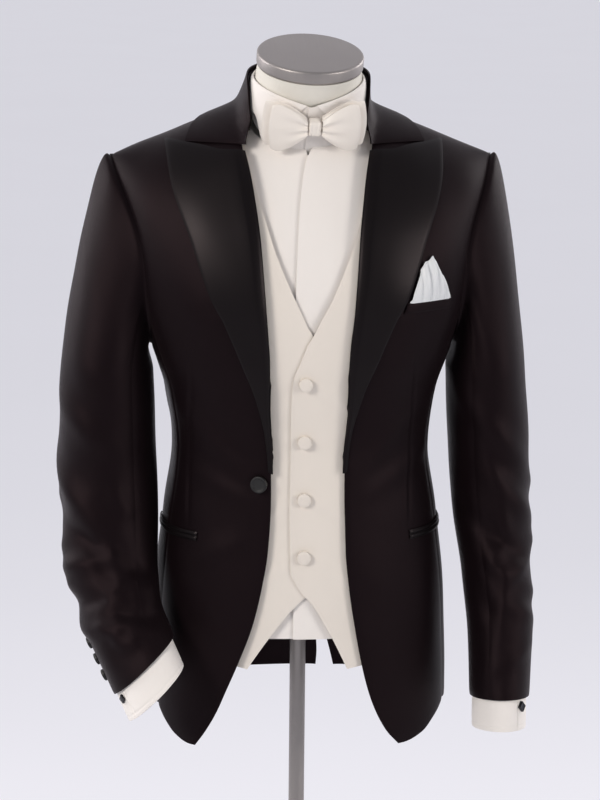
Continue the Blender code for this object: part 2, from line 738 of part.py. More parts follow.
def make_jacket_body(collection):
    gap = SEAM / 0.16
    middle = math.pi - CENTRE_GAP
    front_seam, back_seam = SIDE_SEAMS
    tip_turns, under_turns, back_turns = FRONT_TURNS[::-1], UNDER_TURNS, BACK_TURNS
    for side, word in ((1, "left"), (-1, "right")):
        hem = [(share, *spot(left if side > 0 else right, z)) for share, right, left, z in FRONT_HEM]
        hem.append((1.0, front_seam - gap, rise_of(front_seam, SIDE_HEM_Z)))
        armhole_edge = side_and_armhole(front_seam, SIDE_HEM_Z, tip_turns, -gap)
        front = patched(front_edge(side), armhole_edge, edge(*hem))
        rows = panel_rows(12, tip_turns)
        place = worn(front, JACKET, side)
        slab(f"jacket_front_{word}", place, BOTH, 8, rows, "jacket_cloth", collection)

        # The wearer's right half laps past the middle below the vent's top
        vent = [(z, left if side > 0 else -right) for z, right, left in VENT]
        vent_shares = shares_of([z for z, _ in vent])
        centre = [(0.34 * s, *spot(x, z, behind=True)) for s, (z, x) in zip(vent_shares, vent)]
        centre += [
            (0.60, middle, rise_of(math.pi, 1.200)),
            (0.86, middle, rise_of(math.pi, 1.503)),
            (0.93, *spot(0.0540, 1.5100, behind=True)),
            (1.0, *ridge_spot(NECK_X, behind=True)),
        ]
        back = ruled(side_and_armhole(back_seam, BACK_HEM_Z + 0.003, back_turns, gap), edge(*centre))
        rows = panel_rows(9, back_turns)
        place = worn(back, JACKET, side)
        slab(f"jacket_back_{word}", place, BOTH, 7, rows, "jacket_cloth", collection)

        def panel(u, v):
            angle, top = armhole(mix(under_turns[0], under_turns[-1], u))
            low = rise_of(angle, mix(SIDE_HEM_Z, BACK_HEM_Z + 0.003, u))
            return angle + gap * (1 - 2 * u), mix(low, top, v)

        slab(f"jacket_side_{word}", laid(panel, side), JACKET[:2], 4, 10, "jacket_cloth", collection)


def lapel_spread():
    """Angle and rise over a lapel: u from the roll to the outer edge, v from the button to the gorge."""
    roll_shares = shares_of([z for z, _ in ROLL_LINE])
    roll = edge(*((share, *spot(x, z)) for share, (z, x) in zip(roll_shares, ROLL_LINE)))
    low = LAPEL_EDGE[0][0]
    outer = [((z - low) / (LAPEL_PEAK_Z - low), *spot(x, z)) for z, x in LAPEL_EDGE]
    outer = edge(*outer, (1.0, *crown_spot(*GORGE[-1])))
    gorge = edge(*((share, *crown_spot(*row)) for share, row in zip(GORGE_SHARES, GORGE)))
    return patched(roll, outer, lambda u: ruled(roll, outer)(u, 0.0), gorge)


def make_lapels(collection):
    spread = lapel_spread()
    shares = [0.0, 0.035, 0.10, 0.30, 0.52, NOTCH_SHARE, 1.0]
    for side, word in ((1, "left"), (-1, "right")):

        def place(u, v, out, side=side):
            angle, rise = spread(u, v)
            past, height = along(LAPEL_SECTION, u)
            return on_body(side * (angle + past), rise, height + out)

        faces = (0.0, -LAPEL_THICKNESS)
        slab(f"lapel_{word}", place, faces, shares, LAPEL_ROWS, "lapel_satin", collection)


def round_collar(front, ridge_x, back):
    """A curve over the shoulder, from its front rows to centre back, as angle and rise at a share."""
    fore = edge(*front, (0.5, *ridge_spot(ridge_x)))
    rear_rows = [(share, *spot(x, z, behind=True)) for share, x, z in back]
    aft = edge((0.5, *ridge_spot(ridge_x, behind=True)), *rear_rows)
    return lambda share: fore(share) if share < 0.5 else aft(share)


def make_collar(collection):
    """The stand round the neck and the fall that folds over it down to the shoulders."""
    seam = round_collar([(s, *spot(x, z)) for s, x, z in COLLAR_SEAM], NECK_X, COLLAR_SEAM_BACK)
    edge_rows = [(s, *crown_spot(x, y)) for s, x, y in COLLAR_EDGE]
    outer = round_collar(edge_rows, COLLAR_EDGE_X, COLLAR_EDGE_BACK)

    def sides(u):
        """Share from the gorge to centre back, and the side: u runs from the wearer's left to the right."""
        return 1 - abs(2 * u - 1), (1 if u < 0.5 else -1)

    def roll(u, raise_by, out_by):
        share, side = sides(u)
        degrees, z, out = along(COLLAR_ROLL, share)
        return round_neck(side * math.radians(degrees), z + raise_by, out + out_by)

    def on_jacket(curve, u, out):
        share, side = sides(u)
        angle, rise = curve(share)
        return on_body(side * angle, rise, out)

    def fall(u, v):
        top = roll(u, 0.0006, 0.0)
        bend, foot = on_jacket(seam, u, FALL_LIFT), on_jacket(outer, u, FALL_LIFT)
        weights = (v**2, 2 * v * (1 - v) * COLLAR_PULL, (1 - v) ** 2)
        return (top * weights[0] + bend * weights[1] + foot * weights[2]) / sum(weights)

    rows = [0.0, 0.05, 0.14, 0.45, 0.83, 0.94, 1.0]
    faces = JACKET[:2]
    slab("jacket_collar", raised(fall), faces, 28, rows, "jacket_cloth", collection)

    def stand(u, v):
        u = mix(0.07, 0.93, u)
        low = on_jacket(seam, u, 0.0) + Vector((0, 0, 0.0016))
        middle = Vector((*along(NECK, low.z)[:2], low.z))
        inward = (middle - low).normalized()
        low += inward * 0.0016
        return low.lerp(roll(u, -0.0050, -0.0024), v) - inward * 0.0012 * math.sin(math.pi * v)

    slab("jacket_collar_stand", raised(stand), (0.0, -0.0010), 24, 2, "jacket_cloth", collection)


def sleeve_place(side, inside=0.0):
    """The sleeve's surface: turn round the arm as in the armhole, share of the length, distance out.

    The shirt's sleeve starts inside the jacket's armhole and has no creases of its own.
    """
    rings = SLEEVE_LEFT if side > 0 else SLEEVE_RIGHT
    creases = () if inside else (CREASES_LEFT if side > 0 else CREASES_RIGHT)
    under_leave = Vector((0.045, 0, 0.0)) if inside else Vector((0.014, 0, -0.030))
    inside += SLEEVE_INSET

    def ring(turn, share):
        outer_x, outer_z, inner_x, inner_z, y, depth, lift = along(rings, share)
        outer, inner = Vector((outer_x, y, outer_z)), Vector((inner_x, y, inner_z))
        middle, half = (outer + inner) / 2, (outer - inner) / 2
        return middle + half * math.cos(turn) + Vector((0, -depth, lift)) * math.sin(turn)

    def cap(turn, share):
        """The sleeve head, from the armhole to the first ring."""
        t = share / CAP_SHARE
        start = on_body(*armhole(turn, inside)) + Vector((SLEEVE_INSET, 0, 0))
        end = ring(turn, CAP_SHARE)
        top = (1 + math.cos(turn)) / 2
        leave = Vector((0.045, 0, 0.085)) * top + under_leave * (1 - top)
        along_arm = (ring(turn, CAP_SHARE + 0.01) - end).normalized()
        arrive = along_arm * (end - start).length * mix(0.85, FULLNESS[side], top)
        eased = t * t * (3 - 2 * t)
        return start.lerp(end, eased) + (leave * (1 - t) - arrive * t) * t * (1 - t)

    def face(turn, share):
        return ring(turn, share) if share >= CAP_SHARE else cap(turn, share)

    def crease(turn, share):
        lift = 0.0
        for at, degrees, slant, height, width, reach in creases:
            round_by = math.degrees(math.remainder(turn - math.radians(degrees), 2 * math.pi))
            # A degree round the arm is about a millimetre
            run = share - at - round_by * math.tan(math.radians(slant)) / 1000 / SLEEVE_LENGTH
            lift += height * math.exp(-((run / width) ** 2) - (round_by / reach) ** 2)
        return lift

    def place(turn, share, out):
        point = face(turn, share)
        round_arm = face(turn + STEP, share) - face(turn - STEP, share)
        down_arm = face(turn, share + STEP) - face(turn, max(share - STEP, 0))
        point += round_arm.cross(down_arm).normalized() * (out + crease(turn, share))
        # At the seam the wall's edge is parallel to the body's
        blend = min(share / 0.10, 1.0)
        start = on_body(*armhole(turn, inside), out) + Vector((SLEEVE_INSET, 0, 0))
        if share < CAP_SHARE:
            start += face(turn, share) - face(turn, 0.0)
        point = start.lerp(point, blend)
        return Vector((side * point.x, point.y, point.z))

    return place


def sleeve_panel(place, turns):
    """A slab's place on a stretch of the sleeve, from the hem up."""
    return lambda u, v, out: place(mix(turns[0], turns[-1], u), 1 - v, out)


def make_sleeves(collection):
    """Each jacket sleeve in two pieces, with the shirt's sleeve inside."""
    top_turns = [turn - 2 * math.pi for turn in BACK_TURNS[1:]] + FRONT_TURNS[1:-1]
    under_turns = [FRONT_TURNS[-2], *UNDER_TURNS, BACK_TURNS[1]]
    for side, word in ((1, "left"), (-1, "right")):
        place = sleeve_place(side)
        for name, turns in (("top", top_turns), ("under", under_turns)):
            turns = [turns[0] + SLEEVE_SEAM, *turns[1:-1], turns[-1] - SLEEVE_SEAM]
            panel = sleeve_panel(place, turns)
            columns = shares_of(turns)
            rows = [1 - share for share in reversed(SLEEVE_SHARES)]
            full_name = f"sleeve_{name}_{word}"
            slab(full_name, panel, JACKET[:2], columns, rows, "jacket_cloth", collection)

        plain = sleeve_place(side, SHIRT_ARMHOLE_INSIDE)

        def shirt(u, v, out, plain=plain):
            share = SHIRT_SLEEVE_INSET[-1][0] * (1 - v)
            (inset,) = along(SHIRT_SLEEVE_INSET, share)
            return plain(2 * math.pi * u, share, out - inset)

        columns = shares_of([*FRONT_TURNS[::2], math.pi, *BACK_TURNS[::2]])
        full_name, faces = f"shirt_sleeve_{word}", (0.0, -0.0010)
        slab(full_name, shirt, faces, columns, 9, "shirt_cotton", collection, tube=True)
        make_cuff(side, word, place, collection)


def on_facet(place, turn, share, out):
    """A point over the flat facets between the corners of a sleeve's outer face."""
    turns = [corner - 2 * math.pi for corner in BACK_TURNS[1:]] + FRONT_TURNS[1:]
    column = max(index for index, corner in enumerate(turns) if corner <= turn)
    row = max(index for index, corner in enumerate(SLEEVE_SHARES) if corner <= share)
    (t0, t1), (s0, s1) = turns[column : column + 2], SLEEVE_SHARES[row : row + 2]
    across, down = (turn - t0) / (t1 - t0), (share - s0) / (s1 - s0)
    upper = place(t0, s0, out).lerp(place(t1, s0, out), across)
    return upper.lerp(place(t0, s1, out).lerp(place(t1, s1, out), across), down)


def make_cuff(side, word, place, collection):
    """The shirt's double cuff, its link and the buttons on the jacket's cuff."""

    def middle(share):
        return (place(0, share, 0) + place(math.pi, share, 0)) / 2

    way = (middle(1.0) - middle(0.93)).normalized()

    def cuff(u, v, out):
        past = mix(CUFF_REACH, -CUFF_HIDDEN, v)
        return place(2 * math.pi * u, 1 + min(past, 0) / SLEEVE_LENGTH, out) + way * max(past, 0)

    rows = shares_of([-CUFF_REACH, -CUFF_REACH / 2, 0.0, CUFF_HIDDEN])
    columns = shares_of([*FRONT_TURNS, math.pi, *BACK_TURNS])
    name, faces = f"shirt_cuff_{word}", (-0.0034, -0.0056)
    slab(name, cuff, faces, columns, rows, "shirt_cotton", collection, tube=True)

    turn = LINK_TURNS[side]
    centre = place(turn, 1.0, -0.0028) + way * 0.009
    axis = (place(turn, 1.0, 0.01) - place(turn, 1.0, 0.0)).normalized()
    disc(f"cufflink_{word}", centre, axis, 0.0052, 0.0035, "link_metal", collection, sides=8)

    turn = BUTTON_TURNS[side]
    for number, share in enumerate(CUFF_BUTTON_SHARES, 1):
        centre = on_facet(place, turn, share, BUTTON_LIFT)
        axis = (on_facet(place, turn, share, BUTTON_LIFT + 0.01) - centre).normalized()
        name = f"cuff_button_{word}_{number}"
        disc(name, centre, axis, 0.0072, 0.0034, "black_button", collection, sides=10)


def make_jacket_trim(collection):
    """Pockets, pocket square and the closing button."""
    for side, word in ((1, "left"), (-1, "right")):
        start, end = math.radians(43.0 if side > 0 else 46.0), math.radians(92.0)

        def jet(u, v, start=start, end=end):
            angle = mix(start, end, u)
            return angle, rise_of(angle, mix(1.0090, 1.0200, v))

        place = laid(jet, side)
        slab(f"hip_pocket_{word}", place, TRIM, 8, 1, "lapel_satin", collection)

    def welt(u, v):
        return spot(mix(mix(0.1075, 0.1115, v), 0.1650, u), mix(1.2850, 1.2965, v) + 0.001 * u)

    slab("breast_welt", laid(welt), TRIM, 5, 1, "jacket_cloth", collection)

    def square(u, v, out):
        x, z = along(SQUARE_CREST, u)
        low_x, low_z = mix(0.1135, 0.1630, u), mix(1.2971, 1.2980, u)
        angle, rise = spot(mix(low_x, x, v), mix(low_z, z, v))
        rounded = math.sin(math.pi * mix(0.08, 0.92, u)) * math.sin(math.pi * mix(0.12, 0.9, v))
        puff = SQUARE_PUFF * rounded if out == TRIM[0] else 0.0
        return on_body(angle, rise, out + puff)

    columns = [row[0] for row in SQUARE_CREST]
    slab("pocket_square", square, TRIM, columns, 4, "pocket_silk", collection)
    centre, axis = on_front(*JACKET_BUTTON)
    disc("jacket_button", centre, axis, 0.0100, 0.0040, "black_button", collection, sides=18)


# Waistcoat


def make_waistcoat(collection):
    fronts = ((1, "left", WAISTCOAT_UPPER, 0.0500), (-1, "right", WAISTCOAT_LOWER, 0.0727))
    for side, word, layer, point_x in fronts:
        rows = []
        for share, x, z in WAISTCOAT_EDGE:
            # The right front is the left one mirrored about the line of the buttons
            rows.append((share, *spot(x if side > 0 else x + 2 * WAISTCOAT_MIDDLE, z)))
        left = edge(*rows, (1.0, *ridge_spot(WAISTCOAT_SHOULDER[0])))
        sides = [(share, math.radians(a), rise_of(math.radians(a), z)) for share, a, z in WAISTCOAT_ARMHOLE]
        right = edge(*sides, (1.0, *ridge_spot(WAISTCOAT_SHOULDER[1])))
        tip, half = spot(point_x, WAISTCOAT_POINT_Z), 0.5

        def bottom(u, left=left, right=right, tip=tip):
            start, end, t = (left(0), tip, u / half) if u < half else (tip, right(0), (u - half) / half)
            return [mix(a, b, t) for a, b in zip(start, end)]

        front = patched(left, right, bottom)
        name = f"waistcoat_front_{word}"
        columns = [0.0, 0.17, 0.33, 0.5, 0.66, 0.83, 1.0]
        rows = between(0.0, 0.80, 11) + [0.85, 0.90, 0.95, 1.0]
        slab(name, worn(front, layer, side), BOTH, columns, rows, "waistcoat_cloth", collection)

        centre = edge(
            (0.0, math.pi - CENTRE_GAP, rise_of(math.pi, WAISTCOAT_HEM_Z)),
            (0.5, math.pi - CENTRE_GAP, rise_of(math.pi, 1.200)),
            (0.82, math.pi - CENTRE_GAP, rise_of(math.pi, 1.492)),
            (0.91, *spot(0.0600, 1.4980, behind=True)),
            (1.0, *ridge_spot(WAISTCOAT_SHOULDER[0], behind=True)),
        )
        seam = [(share, math.pi - angle + WAISTCOAT_SEAM, rise) for share, angle, rise in sides]
        shoulder = ridge_spot(WAISTCOAT_SHOULDER[1], behind=True)
        back = worn(ruled(edge(*seam, (1.0, *shoulder)), centre), WAISTCOAT_BACK, side)
        rows = between(0.0, 0.80, 8) + [0.87, 0.93, 1.0]
        slab(f"waistcoat_back_{word}", back, BOTH, 6, rows, "waistcoat_cloth", collection)

    for number, z in enumerate(WAISTCOAT_BUTTONS, 1):
        centre, axis = on_front(WAISTCOAT_MIDDLE, z, WAISTCOAT_UPPER[0] + 0.0010)
        name = f"waistcoat_button_{number}"
        disc(name, centre, axis, 0.0080, 0.0042, "waistcoat_cloth", collection, sides=12)


# Shirt and bow tie


def neck_spot(degrees, side):
    """Angle and rise on the shirt where it meets its collar, on either side."""
    (height,) = along(COLLAR_FOOT, degrees)
    seam = round_neck(side * math.radians(degrees), height, SHIRT_STAND[0] + 2 * SEAM)
    return crown_spot(abs(seam.x), seam.y, SHIRT_UPPER[0])


def make_shirt(collection):
    half, gap, inside = math.pi / 2, 0.0025, SHIRT_ARMHOLE_INSIDE
    low = rise_of(half, SHIRT_BOTTOM)
    fore = side_and_armhole(half, SHIRT_BOTTOM, [math.pi, *FRONT_TURNS[::-2]], -gap, inside)
    aft = side_and_armhole(half, SHIRT_BOTTOM, [math.pi, *BACK_TURNS[::2]], gap, inside)
    rows = panel_rows(5, [math.pi, *FRONT_TURNS[::-2]])
    fronts = ((1, "left", SHIRT_UPPER, -0.0165), (-1, "right", SHIRT_LOWER, -0.0080))
    for side, word, layer, edge_x in fronts:
        left = edge(
            (0.0, *spot(edge_x, SHIRT_BOTTOM)),
            (0.5, *spot(edge_x, 1.200)),
            (0.78, *neck_spot(2.0, side)),
            (0.87, *neck_spot(45.0, side)),
            (0.94, *neck_spot(80.0, side)),
            (1.0, *ridge_spot(NECK_RIDGE_X[side])),
        )
        front = worn(ruled(left, fore), layer, side, SHIRT_SINK)
        slab(f"shirt_front_{word}", front, BOTH, 7, rows, "shirt_cotton", collection)

    halves = {}
    for side in (1, -1):
        nape = math.pi, neck_spot(180.0, side)[1]
        centre = edge((0.0, math.pi, low), (0.5, math.pi, rise_of(math.pi, 1.200)), (1.0, *nape))
        neckline = straight(
            (0.0, *aft(1.0)),
            (0.50, *ridge_spot(NECK_RIDGE_X[side], behind=True)),
            (0.66, *neck_spot(125.0, side)),
            (0.82, *neck_spot(150.0, side)),
            (1.0, *nape),
        )
        hem = straight((0.0, *aft(0.0)), (1.0, *centre(0.0)))
        halves[side] = worn(patched(aft, centre, hem, neckline), SHIRT_BACK, side)

    def whole_back(u, v, out):
        return halves[1 if u < 0.5 else -1](1 - abs(2 * u - 1), v, out)

    rows = panel_rows(5, [math.pi, *BACK_TURNS[::2]])
    half_columns = [0.0, 0.08, 0.17, 0.25, 0.33, 0.41, 0.5]
    columns = half_columns + [1 - share for share in half_columns[-2::-1]]
    slab("shirt_back", whole_back, BOTH, columns, rows, "shirt_cotton", collection)


def make_neckwear(collection):
    """The shirt's collar and the bow's band, all with corners at the same angles round the neck."""
    turns = [NECK_STEP * index for index in range(33)]

    def at_turn(u, first=0.0):
        return min(max(turns[round(u * 32)], first), 2 * math.pi - first)

    def foot(turn):
        return along(COLLAR_FOOT, 180 - abs(math.degrees(turn) - 180))[0]

    def top(turn):
        return 1.518 + 0.042 * abs(math.sin(turn / 2))

    def stand(u, v, out):
        turn = at_turn(u, math.radians(2.0))
        return round_neck(turn, mix(foot(turn), top(turn), v), out)

    slab("shirt_collar_stand", stand, SHIRT_STAND, 32, 2, "shirt_cotton", collection)

    def leaf(u, v, out):
        """v is 0 at the leaf's lower edge and 1 at its fold; the front edges slant out to the points."""
        fold = low = at_turn(u, math.radians(5.0))
        from_front = math.degrees(min(fold, 2 * math.pi - fold))
        if from_front < LEAF_POINT + 20:
            spread = mix(LEAF_POINT, LEAF_POINT + 20, from_front / (LEAF_POINT + 20))
            low = math.radians(spread if fold < math.pi else 360 - spread)
        turn = mix(low, fold, v)
        point = math.exp(-(((from_front - 5) / 30) ** 2))
        z = mix(top(turn) - mix(0.0310, 0.0570, point), top(turn) + 0.0010, v)
        flare = 0.0030 * (1 - v) ** 2 * max(math.cos(turn), 0) * abs(math.sin(turn))
        folded = (SHIRT_LEAF[1] - SHIRT_STAND[0] - 2 * SEAM) * v**6
        return round_neck(turn, z, out + flare - folded)

    slab("shirt_collar_leaf", leaf, SHIRT_LEAF, 32, [0.0, 0.5, 0.86, 1.0], "shirt_cotton", collection)

    def band(u, v, out):
        turn = 2 * math.pi * u
        return round_neck(turn, foot(turn) + mix(0.010, 0.024, v), out)

    slab("bow_band", band, BOW_BAND, 32, 1, "bow_satin", collection, tube=True)


def make_bow(collection):
    """Two wings of two layers each, drawn together by the knot, leaning with the neck."""
    lean = Matrix.Rotation(BOW_LEAN, 3, "X")
    for side, word in ((1, "left"), (-1, "right")):
        for layer, depth, longer in BOW_LAYERS:

            def wing(u, v, out, side=side, depth=depth, longer=longer):
                away = mix(KNOT.x / 2 + 2 * SEAM, BOW_WING[-1][0] + longer, u)
                (half,) = along(BOW_WING, min(away, BOW_WING[-1][0]))
                across = 2 * v - 1
                belly = 1 - across**2
                puff = 0.0030 * math.sin(math.pi * mix(0.1, 0.75, u)) * belly
                pleat = 0.0012 * (1 - u) * math.cos(3 * math.pi * across)
                swing = 2.2 * away**2
                front = depth + swing - out - (puff + pleat if out > 0 else 0)
                reach = away + 0.0035 * u * belly
                return BOW_CENTRE + lean @ Vector((side * reach, front, half * across))

            slab(f"bow_{layer}_{word}", wing, (0.0012, -0.0012), 6, 6, "bow_satin", collection)

    mesh = bmesh.new()
    bmesh.ops.create_cube(mesh, size=1)
    bmesh.ops.scale(mesh, vec=KNOT, verts=mesh.verts)
    bmesh.ops.bevel(mesh, geom=mesh.edges[:], offset=0.0035, segments=2, affect="EDGES", profile=0.6)
    bmesh.ops.rotate(mesh, cent=(0, 0, 0), matrix=lean, verts=mesh.verts)
    bmesh.ops.translate(mesh, vec=BOW_CENTRE, verts=mesh.verts)
    keep(mesh, "bow_knot", "bow_satin", collection)


def main():
    for item in list(bpy.data.objects):
        bpy.data.objects.remove(item)
    suit = bpy.data.collections.new("wedding_suit")
    helpers = bpy.data.collections.new("helpers")
    for collection in (suit, helpers):
        bpy.context.scene.collection.children.link(collection)
    make_stand(suit)
    make_form(suit, helpers)
    make_jacket_body(suit)
    make_lapels(suit)
    make_collar(suit)
    make_sleeves(suit)
    make_jacket_trim(suit)
    make_waistcoat(suit)
    make_shirt(suit)
    make_neckwear(suit)
    make_bow(suit)


main()
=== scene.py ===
"""A wedding suit on a limbless dress form.

Dinner jacket with satin peak lapels, ivory waistcoat, white shirt with double cuffs and an ivory bow tie.
Metres, +Z up. The front faces -Y and the wearer's left is +X.

Each cut piece of cloth is a fine grid that a function lays onto the figure, with its creases pushed in or
out of the surface before the wall gets its thickness. A place on the figure is an angle round the body, 0
at centre front and 180 degrees at centre back, and a rise, 0 at the hem, 1 at the chest, 2 at the shoulder.
"""

import logging
import math
from collections.abc import Callable
from dataclasses import dataclass
from enum import Enum

import bpy
import numpy as np
from mathutils import Matrix, Vector


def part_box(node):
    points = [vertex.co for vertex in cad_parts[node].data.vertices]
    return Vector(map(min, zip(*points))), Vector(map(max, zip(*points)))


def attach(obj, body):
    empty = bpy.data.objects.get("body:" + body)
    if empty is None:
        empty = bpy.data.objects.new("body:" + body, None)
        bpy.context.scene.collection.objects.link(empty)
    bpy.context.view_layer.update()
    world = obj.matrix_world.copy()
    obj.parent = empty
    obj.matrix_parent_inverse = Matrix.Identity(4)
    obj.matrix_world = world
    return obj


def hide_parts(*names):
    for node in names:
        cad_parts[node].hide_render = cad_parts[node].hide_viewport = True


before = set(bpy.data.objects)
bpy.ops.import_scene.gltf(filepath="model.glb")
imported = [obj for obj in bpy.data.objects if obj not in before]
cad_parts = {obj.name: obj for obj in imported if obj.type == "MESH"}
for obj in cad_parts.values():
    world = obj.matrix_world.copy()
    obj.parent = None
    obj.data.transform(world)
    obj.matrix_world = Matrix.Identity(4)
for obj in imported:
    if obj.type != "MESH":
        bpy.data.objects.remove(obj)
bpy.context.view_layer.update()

LOG = logging.getLogger("wedding_suit")

Row = tuple[float, ...]
Spot = tuple[float, float]
Curve = Callable[[float], Spot]
Spread = Callable[[float, float], Spot]
Place = Callable[[float, float, float], Vector]

LEFT, RIGHT = 1, -1
SIDES = ((LEFT, "left"), (RIGHT, "right"))
BODY = "root"


# Reading tables and blending


def mix(a: float, b: float, t: float) -> float:
    """The value a share t of the way from a to b."""
    return a + (b - a) * t


def clamp(value: float) -> float:
    """The value kept from 0 to 1."""
    return min(max(value, 0.0), 1.0)


def along(rows: tuple[Row, ...], key: float) -> list[float]:
    """Read rows at a key in their first column, with a smooth curve through the other columns.

    Args:
        rows: The table, its first column rising.
        key: The value to look up.

    Returns:
        The other columns at the key.
    """
    last = len(rows) - 1
    index = min(max(sum(row[0] <= key for row in rows) - 1, 0), last - 1)
    start, end = rows[index], rows[index + 1]
    span = end[0] - start[0]
    t = clamp((key - start[0]) / span)

    def slope(row: int, column: int) -> float:
        """The curve's slope at a row of the table."""
        if row in (0, last):
            near = 1 if row == 0 else last
            return (rows[near][column] - rows[near - 1][column]) / (rows[near][0] - rows[near - 1][0])
        before = (rows[row][column] - rows[row - 1][column]) / (rows[row][0] - rows[row - 1][0])
        after = (rows[row + 1][column] - rows[row][column]) / (rows[row + 1][0] - rows[row][0])
        return 2 * before * after / (before + after) if before * after > 0 else 0.0

    return [
        start[column] * (1 - t) ** 2 * (1 + 2 * t)
        + end[column] * t * t * (3 - 2 * t)
        + (slope(index, column) * (1 - t) - slope(index + 1, column) * t) * span * t * (1 - t)
        for column in range(1, len(start))
    ]


def edge(*rows: Row) -> Curve:
    """A smooth curve on the figure through rows of share, angle and rise."""
    return lambda share: tuple(along(rows, share))


def straight(*rows: Row) -> Curve:
    """The same with straight steps between the rows."""

    def read(share: float) -> Spot:
        """Angle and rise at a share."""
        index = max(index for index, row in enumerate(rows[:-1]) if row[0] <= share)
        start, end = rows[index], rows[index + 1]
        t = (share - start[0]) / (end[0] - start[0])
        return mix(start[1], end[1], t), mix(start[2], end[2], t)

    return read


def patched(left: Curve, right: Curve, bottom: Curve | None = None, top: Curve | None = None) -> Spread:
    """The map from a unit square to angle and rise between edges.

    Args:
        left: The edge at u = 0.
        right: The edge at u = 1.
        bottom: The edge at v = 0, or none where it is straight.
        top: The edge at v = 1, or none where it is straight.

    Returns:
        Angle and rise at u and v.
    """

    def spread(u: float, v: float) -> Spot:
        """Angle and rise of the patch."""
        (a0, r0), (a1, r1) = left(v), right(v)
        angle, rise = mix(a0, a1, u), mix(r0, r1, u)
        for curve, end, weight in ((bottom, 0.0, 1 - v), (top, 1.0, v)):
            if curve:
                (b0, s0), (b1, s1), (bend, lift) = left(end), right(end), curve(u)
                angle += weight * (bend - mix(b0, b1, u))
                rise += weight * (lift - mix(s0, s1, u))
        return angle, rise

    return spread


# The figure


